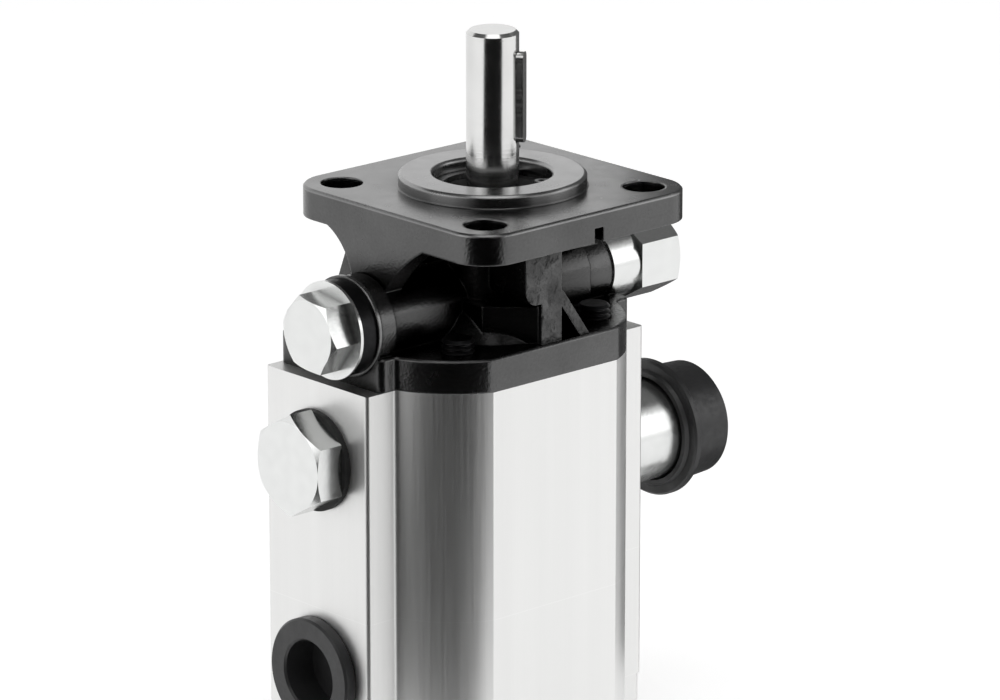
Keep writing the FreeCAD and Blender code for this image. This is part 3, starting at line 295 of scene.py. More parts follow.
def grey_iron(colours, grain):
    """Grey iron cast in green sand, blasted, with the mounting face, pilot and plug seat machined.

    The eye sees a dull dark skin with the grit of the mould, lumpier on the front rib where two cores met, a paler
    face with fine rings, and thin bright edges that are partly rubbed and partly a painted highlight. Painted shade
    makes the hollows under the flange and the small recesses near-black.
    """
    finish, tree, shader, place = start_finish("cast_grey_iron", 1.0, 0.3)
    low, high = (-FAR_OUTSIDE,) * 3, (FAR_OUTSIDE,) * 3
    faced = inside_box(tree, place, (*low[:2], -0.8 * MM), high)
    pilot = inside_box(tree, place, (*low[:2], 0.3 * MM), high)
    plug_seat = inside_box(tree, place, low, (cover_low.x + 1.0 * MM, *high[1:]))
    rib = inside_box(tree, place, (-14.0 * MM, -FAR_OUTSIDE, base_top), (14.0 * MM, -21.0 * MM, -7.4 * MM))
    cut = add_node(tree, "ShaderNodeMath", {0: faced, 1: plug_seat}, operation="MAXIMUM")["Value"]
    skin_only = add_node(tree, "ShaderNodeMath", {0: 1.0, 1: cut}, operation="SUBTRACT")["Value"]

    grit = patches(tree, place, grain.sand_grain, 0.0, 1.0, detail=6.0)
    lumps = patches(tree, place, grain.core_lumps, 0.0, 1.0, detail=5.0)
    grit_shade = add_node(tree, "ShaderNodeMapRange", {"Value": grit, "To Min": 0.86, "To Max": 1.0})["Result"]
    lump_shade = add_node(tree, "ShaderNodeMapRange", {"Value": lumps, "To Min": 0.45, "To Max": 1.1})["Result"]
    # Painted shade: the skin darkens towards near-black in hollows and under the flange, where little light comes in.
    hollows = open_to_light(tree, 26.0 * MM, 0.3, 0.8)
    base = add_node(tree, "ShaderNodeMix", {"Factor": hollows, 6: rgba(colours.hollow_shade), 7: rgba(colours.cast_skin)},
                    data_type="RGBA")[2]
    base = add_node(tree, "ShaderNodeMix", {"Factor": 1.0, 6: base, 7: grit_shade}, data_type="RGBA",
                    blend_type="MULTIPLY")[2]
    base = add_node(tree, "ShaderNodeMix", {"Factor": rib, 6: base, 7: lump_shade}, data_type="RGBA",
                    blend_type="MULTIPLY")[2]
    base = add_node(tree, "ShaderNodeMix", {"Factor": cut, 6: base, 7: rgba(colours.machined_iron)},
                    data_type="RGBA")[2]
    base = add_node(tree, "ShaderNodeMix", {"Factor": pilot, 6: base, 7: rgba(colours.pilot_iron)},
                    data_type="RGBA")[2]
    # Random tone in broad patches, then painted shade that darkens small recesses such as the pilot's bore.
    for tone_and_shade in (patches(tree, place, 14.0 * MM, 0.86, 1.04), open_to_light(tree, 6.0 * MM, 0.5, 0.95, low=0.45)):
        base = add_node(tree, "ShaderNodeMix", {"Factor": 1.0, 6: base, 7: tone_and_shade}, data_type="RGBA",
                        blend_type="MULTIPLY")[2]
    # Paler sharp edges: partly rubbed wear, partly painted highlight.
    base = add_node(tree, "ShaderNodeMix", {"Factor": rubbed_and_highlit_edges(tree, 0.35 * MM, 0.4), 6: base,
                                            7: rgba(colours.pale_grey)}, data_type="RGBA")[2]

    rough = patches(tree, place, 5.0 * MM, 0.22, 0.28)
    rough = add_node(tree, "ShaderNodeMapRange", {"Value": rib, "To Min": rough, "To Max": 0.4})["Result"]
    sand = add_node(tree, "ShaderNodeMath", {0: grit, 1: skin_only}, operation="MULTIPLY")["Value"]
    soft_edges = add_node(tree, "ShaderNodeBevel", {"Radius": 0.7 * MM}, samples=6)["Normal"]
    normal = add_node(tree, "ShaderNodeBump", {"Height": sand, "Distance": 0.03 * MM, "Normal": soft_edges})["Normal"]
    knots = add_node(tree, "ShaderNodeMath", {0: lumps, 1: rib}, operation="MULTIPLY")["Value"]
    normal = add_node(tree, "ShaderNodeBump", {"Height": knots, "Distance": 1.1 * MM, "Normal": normal})["Normal"]
    rings = add_node(tree, "ShaderNodeTexWave",
                     {"Vector": place, "Scale": math.pi / 10 / grain.facing_pitch, "Distortion": 0.4, "Detail": 1.0,
                      "Detail Scale": 0.6}, wave_type="RINGS", rings_direction="Z")["Fac"]
    rings = add_node(tree, "ShaderNodeMath", {0: rings, 1: faced}, operation="MULTIPLY")["Value"]
    normal = add_node(tree, "ShaderNodeBump", {"Height": rings, "Distance": 0.005 * MM, "Normal": normal})["Normal"]
    join(tree, shader, base, rough, normal)
    return finish


def section_aluminium(colours, grain):
    """Aluminium drawn through a die, sawn and milled to length.

    The eye sees a pale satin metal with very fine straight lines along its length, and soft bands that the die left.
    """
    finish, tree, shader, place = start_finish("drawn_aluminium", 1.0, 0.34)
    along = (1.0, 1.0, 0.012)
    fine = tool_lines(tree, place, along, grain.drawing_pitch, 0.0, 1.0)
    bands = tool_lines(tree, place, along, 16.0 * grain.drawing_pitch, 0.965, 1.0)
    base = add_node(tree, "ShaderNodeMix", {"Factor": 1.0, 6: rgba(colours.aluminium), 7: bands}, data_type="RGBA",
                    blend_type="MULTIPLY")[2]
    # Paler sharp edges: partly rubbed wear, partly painted highlight.
    base = add_node(tree, "ShaderNodeMix", {"Factor": rubbed_and_highlit_edges(tree, 0.3 * MM, 0.35), 6: base,
                                            7: (0.93, 0.93, 0.93, 1.0)}, data_type="RGBA")[2]
    rough = add_node(tree, "ShaderNodeMapRange", {"Value": fine, "To Min": 0.37, "To Max": 0.44})["Result"]
    join(tree, shader, base, rough,
         add_node(tree, "ShaderNodeBump", {"Height": fine, "Distance": 0.004 * MM})["Normal"])
    return finish


def milled_aluminium(colours, grain):
    """Aluminium milled all over, on the bearing blocks.

    The eye sees a pale metal with fine crossing marks of the cutter.
    """
    finish, tree, shader, place = start_finish("milled_aluminium", 1.0, 0.3)
    marks = tool_lines(tree, place, (1.0, 0.03, 1.0), grain.facing_pitch, 0.0, 1.0)
    base = add_node(tree, "ShaderNodeMix", {"Factor": 1.0, 6: rgba(colours.aluminium),
                                            7: patches(tree, place, 8.0 * MM, 0.88, 0.97)},
                    data_type="RGBA", blend_type="MULTIPLY")[2]
    rough = add_node(tree, "ShaderNodeMapRange", {"Value": marks, "To Min": 0.27, "To Max": 0.37})["Result"]
    join(tree, shader, base, rough,
         add_node(tree, "ShaderNodeBump", {"Height": marks, "Distance": 0.01 * MM})["Normal"])
    return finish


def bright_zinc(colours):
    """Steel with bright zinc plate, on the plugs, the sleeve, its cap and the tube.

    The eye sees a near-white metal with soft clouding in the plate, thin paler corners that are partly rubbed and
    partly a painted highlight, and painted shade in its recesses.
    """
    finish, tree, shader, place = start_finish("bright_zinc_plate", 1.0, 0.24)
    base = add_node(tree, "ShaderNodeMix", {"Factor": 1.0, 6: rgba(colours.plating),
                                            7: patches(tree, place, 3.0 * MM, 0.95, 1.0)},
                    data_type="RGBA", blend_type="MULTIPLY")[2]
    # Paler sharp edges: partly rubbed wear, partly painted highlight.
    base = add_node(tree, "ShaderNodeMix", {"Factor": rubbed_and_highlit_edges(tree, 0.3 * MM, 0.5), 6: base,
                                            7: (0.8, 0.8, 0.79, 1.0)}, data_type="RGBA")[2]
    # Painted shade: the plate darkens in recesses and where the plugs meet their pads, where shade falls.
    recess_shade = open_to_light(tree, 4.0 * MM, 0.35, 0.8, low=0.5)
    base = add_node(tree, "ShaderNodeMix", {"Factor": 1.0, 6: base, 7: recess_shade}, data_type="RGBA",
                    blend_type="MULTIPLY")[2]
    waves = patches(tree, place, 2.0 * MM, 0.0, 1.0, detail=2.0)
    join(tree, shader, base, patches(tree, place, 1.5 * MM, 0.2, 0.27),
         add_node(tree, "ShaderNodeBump", {"Height": waves, "Distance": 0.01 * MM})["Normal"])
    return finish


def ground_steel(colours, grain):
    """Hardened steel ground round its axis, on the shaft, gears, keys and sliding valve pieces.

    The eye sees a clean bright metal with very fine lines round it and sharp dark reflections.
    """
    finish, tree, shader, place = start_finish("ground_steel", 1.0, 0.18)
    marks = tool_lines(tree, place, (0.02, 0.02, 1.0), grain.grinding_pitch, 0.0, 1.0)
    base = add_node(tree, "ShaderNodeMix", {"Factor": 1.0, 6: rgba(colours.ground_steel),
                                            7: patches(tree, place, 11.0 * MM, 0.93, 1.0)},
                    data_type="RGBA", blend_type="MULTIPLY")[2]
    rough = add_node(tree, "ShaderNodeMapRange", {"Value": marks, "To Min": 0.14, "To Max": 0.21})["Result"]
    join(tree, shader, base, rough,
         add_node(tree, "ShaderNodeBump", {"Height": marks, "Distance": 0.002 * MM})["Normal"])
    return finish


def blackened_steel(colours, grain):
    """Steel with hot black oxide, on the through bolts, the setting screw and the check plug's collar.

    The eye sees a deep black with an oily sheen, turned grey on corners, partly where a spanner has touched and partly
    as a painted highlight.
    """
    finish, tree, shader, place = start_finish("black_oxide_steel", 1.0, 0.4)
    base = add_node(tree, "ShaderNodeMix", {"Factor": 1.0, 6: rgba(colours.black_oxide),
                                            7: patches(tree, place, 1.6 * MM, 0.8, 1.1)},
                    data_type="RGBA", blend_type="MULTIPLY")[2]
    # Grey corners: partly spanner wear, partly painted highlight.
    base = add_node(tree, "ShaderNodeMix", {"Factor": rubbed_and_highlit_edges(tree, 0.25 * MM, 0.6), 6: base,
                                            7: rgba(colours.cast_skin)}, data_type="RGBA")[2]
    pits = patches(tree, place, 0.3 * MM, 0.0, 1.0)
    join(tree, shader, base, patches(tree, place, 1.2 * MM, 0.34, 0.46),
         add_node(tree, "ShaderNodeBump", {"Height": pits, "Distance": 0.008 * MM})["Normal"])
    return finish


def bearing_bronze(colours, grain):
    """Cast tin bronze bored to size, on the bushes.

    The eye sees a warm brown-yellow metal with fine rings from the boring tool.
    """
    finish, tree, shader, place = start_finish("bearing_bronze", 1.0, 0.32)
    marks = tool_lines(tree, place, (0.02, 0.02, 1.0), grain.facing_pitch, 0.0, 1.0)
    base = add_node(tree, "ShaderNodeMix", {"Factor": 1.0, 6: rgba(colours.bronze),
                                            7: patches(tree, place, 3.0 * MM, 0.8, 1.0)},
                    data_type="RGBA", blend_type="MULTIPLY")[2]
    join(tree, shader, base, patches(tree, place, 2.0 * MM, 0.27, 0.38),
         add_node(tree, "ShaderNodeBump", {"Height": marks, "Distance": 0.008 * MM})["Normal"])
    return finish


def spring_wire(colours):
    """Hard drawn spring steel, on the valve springs and the retaining ring.

    The eye sees a mid-grey metal with a faint oily blotching.
    """
    finish, tree, shader, place = start_finish("drawn_spring_steel", 1.0, 0.3)
    base = add_node(tree, "ShaderNodeMix", {"Factor": 1.0, 6: rgba(colours.pale_grey),
                                            7: patches(tree, place, 1.2 * MM, 0.8, 1.05)},
                    data_type="RGBA", blend_type="MULTIPLY")[2]
    pits = patches(tree, place, 0.2 * MM, 0.0, 1.0)
    join(tree, shader, base, patches(tree, place, 0.8 * MM, 0.25, 0.36),
         add_node(tree, "ShaderNodeBump", {"Height": pits, "Distance": 0.004 * MM})["Normal"])
    return finish


def nitrile_rubber(colours):
    """Moulded nitrile rubber, on the seals and the washer under the port plug.

    The eye sees a soft black with a dusty bloom and no sharp reflection.
    """
    finish, tree, shader, place = start_finish("nitrile_rubber", 0.0, 0.62)
    base = add_node(tree, "ShaderNodeMix", {"Factor": patches(tree, place, 2.0 * MM, 0.0, 0.12),
                                            6: rgba(colours.rubber), 7: (0.09, 0.09, 0.088, 1.0)}, data_type="RGBA")[2]
    skin = patches(tree, place, 0.25 * MM, 0.0, 1.0)
    join(tree, shader, base, patches(tree, place, 1.0 * MM, 0.54, 0.7),
         add_node(tree, "ShaderNodeBump", {"Height": skin, "Distance": 0.02 * MM})["Normal"])
    return finish


def moulded_plastic(colours):
    """Black polyethylene from a polished mould, on the two shipping caps.

    The eye sees a deep black with broad soft highlights, slight waviness and fine scuffs.
    """
    finish, tree, shader, place = start_finish("black_polyethylene", 0.0, 0.34)
    base = add_node(tree, "ShaderNodeMix", {"Factor": patches(tree, place, 4.0 * MM, 0.0, 0.15),
                                            6: rgba(colours.plastic), 7: (0.04, 0.04, 0.041, 1.0)},
                    data_type="RGBA")[2]
    waves = patches(tree, place, 6.0 * MM, 0.0, 1.0, detail=1.0)
    skin = patches(tree, place, 0.4 * MM, 0.0, 1.0)
    normal = add_node(tree, "ShaderNodeBump", {"Height": waves, "Distance": 0.12 * MM})["Normal"]
    normal = add_node(tree, "ShaderNodeBump", {"Height": skin, "Distance": 0.012 * MM, "Normal": normal})["Normal"]
    join(tree, shader, base, patches(tree, place, 1.3 * MM, 0.3, 0.46), normal)
    return finish


def dress(finish, *names):
    """Puts one finish on CAD nodes."""
    for name in names:
        mesh = nodes[name].data
        mesh.materials.clear()
        mesh.materials.append(finish)


class PUMP_OT_front_cover(bpy.types.Operator):
    """Dress the front cover as grey iron, cast and faced"""

    bl_idname = "pump.front_cover"
    bl_label = "Front Cover"

    def execute(self, context):
        scene = context.scene
        dress(grey_iron(scene.pump_colours, scene.pump_grain), "front_cover")
        return {"FINISHED"}


class PUMP_OT_sections(bpy.types.Operator):
    """Dress the aluminium housings, the rear cover and the bearing blocks"""

    bl_idname = "pump.sections"
    bl_label = "Aluminium Sections"

    def execute(self, context):
        colours, grain = context.scene.pump_colours, context.scene.pump_grain
        dress(section_aluminium(colours, grain), "low_pressure_housing", "high_pressure_housing", "rear_cover")
        dress(milled_aluminium(colours, grain), *[name for name in nodes if name.endswith("bearing_block")])
        return {"FINISHED"}


class PUMP_OT_fittings(bpy.types.Operator):
    """Dress the plated plugs, sleeve, cap and tube"""

    bl_idname = "pump.fittings"
    bl_label = "Plated Fittings"

    def execute(self, context):
        dress(bright_zinc(context.scene.pump_colours), "port_plug", "check_plug", "unloader_sleeve",
              "unloader_cap", "suction_tube")
        return {"FINISHED"}


class PUMP_OT_shaft(bpy.types.Operator):
    """Dress the shaft, its keys, the gears, the dowels and the sliding valve pieces"""

    bl_idname = "pump.shaft"
    bl_label = "Shaft and Gears"

    def execute(self, context):
        colours, grain = context.scene.pump_colours, context.scene.pump_grain
        dress(ground_steel(colours, grain), "drive_shaft", "shaft_key", "gear_keys", "dowel_pins", "check_poppet",
              "unloader_spool", *[name for name in nodes if name.endswith("_gear")])
        return {"FINISHED"}


def draw_profile(points):
    """Draws a line of edges from (radius, height) points, in edit mode, and leaves it selected."""
    (radius, height), *rest = points
    bpy.ops.object.select_all(action="DESELECT")
    bpy.ops.mesh.primitive_plane_add(size=MM, location=(radius, 0.0, height))
    bpy.ops.object.mode_set(mode="EDIT")
    bpy.ops.mesh.select_mode(type="VERT")
    bpy.ops.mesh.merge(type="CENTER")
    for next_radius, next_height in rest:
        bpy.ops.mesh.extrude_region_move(
            TRANSFORM_OT_translate={"value": (next_radius - radius, 0.0, next_height - height)})
        radius, height = next_radius, next_height
    bpy.ops.mesh.select_all(action="SELECT")


def spin_profile(name, points, steps):
    """A turned piece about Z from (radius, height) points that start and end on the axis."""
    draw_profile(points)
    bpy.ops.mesh.spin(steps=steps, angle=2.0 * math.pi, center=(0.0, 0.0, 0.0), axis=(0.0, 0.0, 1.0))
    bpy.ops.mesh.select_all(action="SELECT")
    bpy.ops.mesh.remove_doubles(threshold=MERGE_WITHIN)
    bpy.ops.mesh.normals_make_consistent(inside=False)
    bpy.ops.object.mode_set(mode="OBJECT")
    piece = bpy.context.object
    piece.name = name
    bpy.ops.object.transform_apply()
    return piece


def select_faces(piece, chosen):
    """Selects, in edit mode, only the faces that pass a test on the polygon."""
    bpy.ops.object.mode_set(mode="EDIT")
    bpy.ops.mesh.select_mode(type="FACE")
    bpy.ops.mesh.select_all(action="DESELECT")
    bpy.ops.object.mode_set(mode="OBJECT")
    for face in piece.data.polygons:
        face.select = chosen(face)
    bpy.ops.object.mode_set(mode="EDIT")


def smooth(piece, degrees=28.0):
    """Shades one piece smooth, except over edges that turn by more than an angle."""
    bpy.ops.object.select_all(action="DESELECT")
    piece.select_set(True)
    bpy.context.view_layer.objects.active = piece
    bpy.ops.object.shade_smooth_by_angle(angle=math.radians(degrees))


def cut_away(piece, cutter):
    """Cuts one piece out of another and deletes it."""
    bpy.context.view_layer.objects.active = piece
    cut = piece.modifiers.new("cut", "BOOLEAN")
    cut.operation = "DIFFERENCE"
    cut.object = cutter
    cut.solver = "EXACT"
    bpy.ops.object.modifier_apply(modifier=cut.name)
    bpy.data.objects.remove(cutter)


def bolt_profile(sizes, low, high):
    """Half of a bolt's outline: head at the low end, plain shank, then thread crests up to a chamfered end."""
    crest = sizes.shank_radius
    root = crest - sizes.thread_depth
    pitch = sizes.thread_pitch
    points = [(0.0, low), (sizes.head_radius - sizes.head_chamfer, low),
              (sizes.head_radius, low + sizes.head_chamfer), (sizes.head_radius, low + sizes.head_height),
              (crest, low + sizes.head_height)]
    end = high - sizes.thread_depth
    start = end - math.floor(sizes.thread_length / pitch) * pitch
    points.append((crest, start))
    height = start
    while height < end - pitch / 2:
        points += [(root, height + ROOT_START * pitch), (root, height + ROOT_END * pitch),
                   (crest, height + CREST_START * pitch), (crest, height + pitch)]
        height += pitch
    return points + [(root, high), (0.0, high)]


class PUMP_OT_bolts(bpy.types.Operator):
    """Turn one socket-head bolt, knurl its head, cut its socket and thread, and copy it to the other three places"""

    bl_idname = "pump.bolts"
    bl_label = "Bolts"

    def execute(self, context):
        scene = context.scene
        sizes = scene.pump_bolts
        finish = blackened_steel(scene.pump_colours, scene.pump_grain)
        low, high = bolts_low.z, bolts_high.z
        bolt = spin_profile("near_right_bolt", bolt_profile(sizes, low, high), sizes.knurls * 2)
        side_low, side_high = low + sizes.head_chamfer, low + sizes.head_height
        select_faces(bolt, lambda face: side_low < face.center.z < side_high and abs(face.normal.z) < 0.1)
        groove = math.pi * sizes.head_radius / sizes.knurls
        bpy.ops.mesh.inset(use_individual=True, thickness=0.22 * groove, depth=-sizes.knurl_depth)
        bpy.ops.object.mode_set(mode="OBJECT")

        bpy.ops.object.select_all(action="DESELECT")
        bpy.ops.mesh.primitive_cylinder_add(vertices=6, radius=sizes.socket_width / math.sqrt(3.0),
                                            depth=2.0 * sizes.socket_depth, location=(0.0, 0.0, low))
        cut_away(bolt, context.object)
        smooth(bolt)

        across = bolts_high.x - sizes.head_radius
        near, far = bolts_low.y + sizes.head_radius, bolts_high.y - sizes.head_radius
        places = (("near_right_bolt", across, near), ("near_left_bolt", -across, near),
                  ("far_right_bolt", across, far), ("far_left_bolt", -across, far))
        bolts = [bolt] + [bolt.copy() for _ in places[1:]]
        for copy in bolts[1:]:
            copy.data = bolt.data.copy()
            scene.collection.objects.link(copy)
        for copy, (name, x, y) in zip(bolts, places):
            copy.name = name
            copy.data.transform(Matrix.Translation((x, y, 0.0)))
            copy.data.materials.append(finish)
            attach(copy, "pump_body")
        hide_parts("through_bolts")
        dress(finish, "unloader_screw", "check_plug_collar")
        return {"FINISHED"}


def whole_copy(node, name):
    """A copy of a CAD node as one joined-up mesh, which takes the node's place and keeps its finish."""
    piece = bpy.data.objects.new(name, nodes[node].data.copy())
    bpy.context.scene.collection.objects.link(piece)
    bpy.ops.object.select_all(action="DESELECT")
    piece.select_set(True)
    bpy.context.view_layer.objects.active = piece
    bpy.ops.object.mode_set(mode="EDIT")
    bpy.ops.mesh.select_all(action="SELECT")
    bpy.ops.mesh.remove_doubles(threshold=MERGE_WITHIN)
    bpy.ops.object.mode_set(mode="OBJECT")
    bpy.ops.mesh.customdata_custom_splitnormals_clear()
    take_place(piece, node)
    return piece


def take_place(piece, node):
    """Lets a piece stand for a CAD node of the pump's body."""
    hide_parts(node)
    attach(piece, "pump_body")


class PUMP_OT_valve_ends(bpy.types.Operator):
    """Turn the unloader sleeve with its shoulder, seat it in the cover, and tighten the check plug to its place"""

    bl_idname = "pump.valve_ends"
    bl_label = "Valve Ends"

    def execute(self, context):
        sizes = context.scene.pump_valve
        low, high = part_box("unloader_sleeve")
        axis_y, axis_z = (low.y + high.y) / 2, (low.z + high.z) / 2
        outer, bore, wide = (high.z - low.z) / 2, sizes.sleeve_bore, sizes.shoulder_radius
        seat = high.x - sizes.shoulder_length
        sleeve = spin_profile("shouldered_sleeve", [
            (bore, low.x), (outer, low.x), (outer, seat), (wide - sizes.shoulder_edge, seat),
            (wide, seat + sizes.shoulder_edge), (wide, high.x), (bore, high.x), (bore, low.x)], 96)
        sleeve.data.transform(Matrix.Translation((0.0, axis_y, axis_z)) @ Matrix.Rotation(math.radians(90.0), 4, "Y"))
        sleeve.data.materials.append(nodes["unloader_sleeve"].data.materials[0])
        smooth(sleeve)
        take_place(sleeve, "unloader_sleeve")

        cover = whole_copy("front_cover", "cast_cover")
        depth = cover_high.x - seat + 2.0 * sizes.seat_gap
        bpy.ops.object.select_all(action="DESELECT")
        bpy.ops.mesh.primitive_cylinder_add(vertices=96, radius=wide + sizes.seat_gap, depth=depth,
                                            location=(seat - sizes.seat_gap / 4 + depth / 2, axis_y, axis_z),
                                            rotation=(0.0, math.radians(90.0), 0.0))
        cut_away(cover, context.object)
        smooth(cover)

        plug = whole_copy("check_plug", "tightened_check_plug")
        centre = Matrix.Translation((0.0, axis_y, axis_z))
        plug.data.transform(centre @ Matrix.Rotation(-sizes.plug_turn, 4, "X") @ centre.inverted())
        smooth(plug)
        return {"FINISHED"}


class PUMP_OT_bushes(bpy.types.Operator):
    """Dress the bronze bushes"""

    bl_idname = "pump.bushes"
    bl_label = "Bushes"

    def execute(self, context):
        colours, grain = context.scene.pump_colours, context.scene.pump_grain
        dress(bearing_bronze(colours, grain), *[name for name in nodes if name.endswith("_bush")])
        return {"FINISHED"}


class PUMP_OT_springs(bpy.types.Operator):
    """Dress the springs and the retaining ring, and copy each valve spring as one joined-up mesh in its place"""

    bl_idname = "pump.springs"
    bl_label = "Springs and Ring"

    def execute(self, context):
        dress(spring_wire(context.scene.pump_colours), "check_spring", "unloader_spring", "seal_retaining_ring")
        for joint in frame["joints"]:
            for squeezed in joint.get("deforming_nodes", []):
                node, fixed_end = squeezed["node"], squeezed["fixed_end_x_m"]
                spring = whole_copy(node, "coiled_" + node)
                smooth(spring, 40.0)
                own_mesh(spring)
        return {"FINISHED"}


class PUMP_OT_seals(bpy.types.Operator):
    """Dress the rubber seals and the port plug's washer"""

    bl_idname = "pump.seals"
    bl_label = "Seals"

    def execute(self, context):
        seals = [name for name in nodes if name.endswith(("_seal", "_seals"))]
        dress(nitrile_rubber(context.scene.pump_colours), "port_plug_washer", *seals)
        return {"FINISHED"}


class PUMP_OT_caps(bpy.types.Operator):
    """Dress the two moulded shipping caps"""

    bl_idname = "pump.caps"
    bl_label = "Shipping Caps"

    def execute(self, context):
        dress(moulded_plastic(context.scene.pump_colours), "suction_cap", "outlet_cap")
        return {"FINISHED"}


def where_seen(tree, unseen, seen):
    """One strength for light on the object, and another where the camera looks straight, by reflection or through."""
    path = add_node(tree, "ShaderNodeLightPath")
    share = add_node(tree, "ShaderNodeMath", {0: path["Is Camera Ray"], 1: path["Is Glossy Ray"]},
                     operation="MAXIMUM")["Value"]
    share = add_node(tree, "ShaderNodeMath", {0: share, 1: path["Is Transmission Ray"]},
                     operation="MAXIMUM")["Value"]
    return add_node(tree, "ShaderNodeMapRange", {"Value": share, "To Min": unseen, "To Max": seen})["Result"]


def studio_paper(studio):
    """Matt pale paper, seen a little brighter than it is lit, with the object's shadow kept on it."""
    finish, tree, shader, place = start_finish("pale_paper", 0.0, 0.9)
    shader.inputs["Specular IOR Level"].default_value = 0.1
    base = add_node(tree, "ShaderNodeMix", {"Factor": 1.0, 6: rgba(studio.floor),
                                            7: patches(tree, place, 1.2 * MM, 0.985, 1.0)},
                    data_type="RGBA", blend_type="MULTIPLY")[2]
    join(tree, shader, base)
    shader.inputs["Emission Color"].default_value = (1.0, 1.0, 1.0, 1.0)
    tree.links.new(where_seen(tree, 0.0, studio.floor_glow), shader.inputs["Emission Strength"])
    return finish


def flocked_card(name, foot_shade, head_shade, low, high):
    """Flocked card, which the metal reflects as a soft dark band, in a shade that may change with height."""
    finish, tree, shader, place = start_finish(name, 0.0, 1.0)
    shader.inputs["Specular IOR Level"].default_value = 0.0
    height = add_node(tree, "ShaderNodeSeparateXYZ", {"Vector": place})["Z"]
    fade = add_node(tree, "ShaderNodeMapRange", {"Value": height, "From Min": low, "From Max": high,
                                                 "To Min": foot_shade, "To Max": head_shade})["Result"]
    flock = add_node(tree, "ShaderNodeMix", {"Factor": 1.0, 6: fade, 7: patches(tree, place, 2.0 * MM, 0.8, 1.0)},
                     data_type="RGBA", blend_type="MULTIPLY")[2]
    join(tree, shader, flock)
    return finish


def show_in_reflections_only(card, finish):
    """Gives a card its finish, and hides it from the camera and from the light on the object."""
    card.data.materials.append(finish)
    card.visible_camera = False
    card.visible_diffuse = False
    card.visible_shadow = False
    card.visible_transmission = False


def add_card(name, finish, turn, foot, head, foot_reach, head_reach, low, high):
    """A card that leans away from the shaft, from its foot on the floor to its head."""
    bpy.ops.object.select_all(action="DESELECT")
    bpy.ops.mesh.primitive_plane_add(size=2.0)
    card = bpy.context.object
    card.name = name
    for corner in card.data.vertices:
        away, reaches, height = (head, head_reach, high) if corner.co.x > 0.0 else (foot, foot_reach, low)
        corner.co = (away, reaches[1] if corner.co.y > 0.0 else -reaches[0], height)
    card.data.transform(Matrix.Rotation(turn, 4, "Z"))
    show_in_reflections_only(card, finish)


def add_lamp(name, place, target, side, power):
    """A square soft lamp aimed at a point."""
    bpy.ops.object.light_add(type="AREA", location=place)
    lamp = bpy.context.object
    lamp.name = name
    lamp.rotation_euler = (target - Vector(place)).to_track_quat("-Z", "Y").to_euler()
    lamp.data.size = side
    lamp.data.energy = power


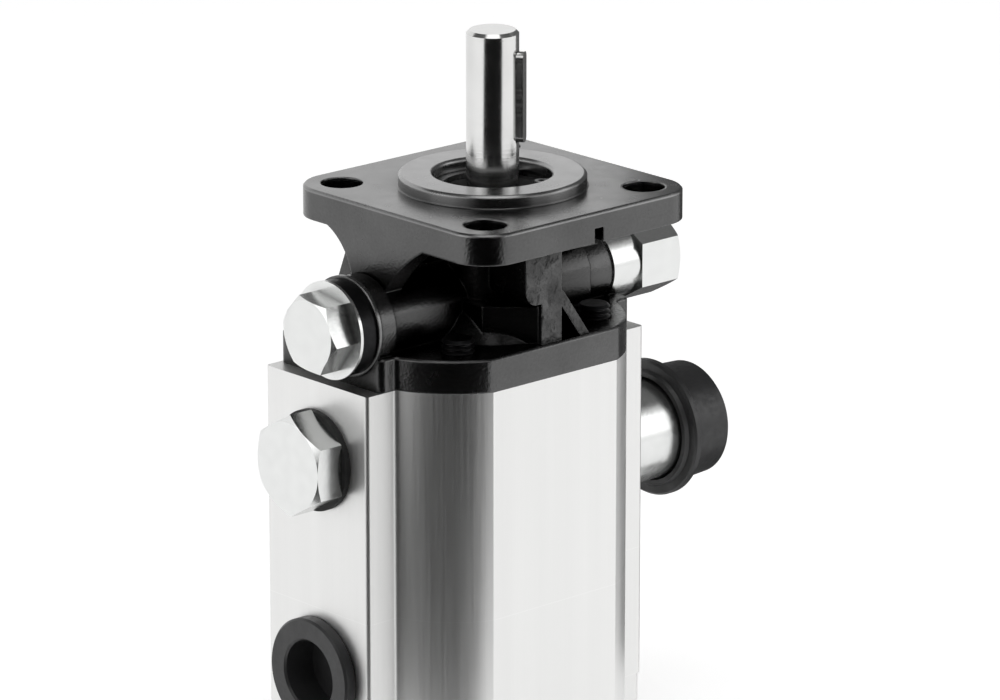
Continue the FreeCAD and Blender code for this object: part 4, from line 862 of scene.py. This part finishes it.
class PUMP_OT_studio(bpy.types.Operator):
    """Lay the paper floor, set the lamps, cards and world, and place the camera"""

    bl_idname = "pump.studio"
    bl_label = "Studio"

    def execute(self, context):
        scene = context.scene
        studio = scene.pump_studio
        floor_z = rear_low.z
        bpy.ops.mesh.primitive_plane_add(size=studio.floor_size, location=(0.0, 0.0, floor_z))
        floor = context.object
        floor.name = "paper_floor"
        bpy.ops.object.transform_apply()
        floor.data.materials.append(studio_paper(studio))

        world = bpy.data.worlds.new("pale_tent")
        world.use_nodes = True
        scene.world = world
        tree = world.node_tree
        tree.links.new(where_seen(tree, studio.world_light, 1.0), tree.nodes["Background"].inputs["Strength"])
        tree.nodes["Background"].inputs["Color"].default_value = (1.0, 1.0, 1.0, 1.0)

        middle = Vector((0.0, (housing_low.y + housing_high.y) / 2, (shaft_high.z + rear_low.z) / 2))
        for name, place, side, power in LAMPS:
            add_lamp(name, place, middle, side, getattr(studio, power))
        black = flocked_card("black_flock", studio.near_foot_shade, studio.near_card_shade,
                             floor_z + studio.fade_start, floor_z + studio.fade_end)
        grey = flocked_card("grey_flock", studio.grey_shade, studio.grey_shade, floor_z, studio.card_top)
        add_card("near_card", black, studio.camera_turn - math.radians(90.0), studio.card_foot, studio.card_head,
                 studio.near_card_foot, studio.near_card_head, floor_z, studio.card_top)
        add_card("right_card", grey, studio.right_card_turn, studio.right_card_away, studio.card_head,
                 studio.right_card_foot, studio.right_card_head, floor_z, studio.right_card_top)
        bpy.ops.mesh.primitive_plane_add(size=studio.ceiling_size, location=(0.0, 0.0, studio.ceiling_height))
        ceiling = context.object
        ceiling.name = "ceiling_card"
        bpy.ops.object.transform_apply()
        show_in_reflections_only(ceiling, grey)

        turn, rise = studio.camera_turn, studio.camera_rise
        forward = Vector((-math.sin(turn) * math.cos(rise), math.cos(turn) * math.cos(rise), -math.sin(rise)))
        right = Vector((math.cos(turn), math.sin(turn), 0.0))
        up = right.cross(forward)
        bpy.ops.object.camera_add(location=right * studio.camera_right - up * studio.camera_below
                                  - forward * studio.camera_distance)
        camera = context.object
        camera.rotation_euler = Matrix((right, up, -forward)).transposed().to_euler()
        camera.data.lens = studio.lens
        camera.data.sensor_width = 36.0
        camera.data.clip_end = 20.0
        scene.camera = camera
        scene.view_settings.view_transform = "Standard"
        return {"FINISHED"}


class PUMP_PT_panel(bpy.types.Panel):
    """The pump's finishes and studio, in the order that they are made"""

    bl_idname = "PUMP_PT_panel"
    bl_label = "Gear Pump"
    bl_space_type = "VIEW_3D"
    bl_region_type = "UI"
    bl_category = "Gear Pump"

    def draw(self, context):
        layout = self.layout
        for operator in operators:
            layout.operator(operator.bl_idname)
        for group, settings in groups.items():
            box = layout.box()
            for name in settings.__annotations__:
                box.prop(getattr(context.scene, group), name)


groups = {"pump_colours": PumpColours, "pump_grain": PumpGrain, "pump_bolts": PumpBolts, "pump_valve": PumpValve,
          "pump_studio": PumpStudio}
operators = (PUMP_OT_front_cover, PUMP_OT_sections, PUMP_OT_fittings, PUMP_OT_shaft, PUMP_OT_bolts,
             PUMP_OT_valve_ends, PUMP_OT_bushes, PUMP_OT_springs, PUMP_OT_seals, PUMP_OT_caps, PUMP_OT_studio)


def register():
    """Makes the settings, operators and panel known to Blender."""
    for name, group in groups.items():
        bpy.utils.register_class(group)
        setattr(bpy.types.Scene, name, PointerProperty(type=group))
    for cls in operators + (PUMP_PT_panel,):
        bpy.utils.register_class(cls)


def unregister():
    """Takes back what register did."""
    for cls in (PUMP_PT_panel,) + operators[::-1]:
        bpy.utils.unregister_class(cls)
    for name, group in groups.items():
        delattr(bpy.types.Scene, name)
        bpy.utils.unregister_class(group)


def main():
    """Makes the whole scene."""
    register()
    for operator in operators:
        category, name = operator.bl_idname.split(".")
        getattr(getattr(bpy.ops, category), name)()


if __name__ == "__main__":
    main()
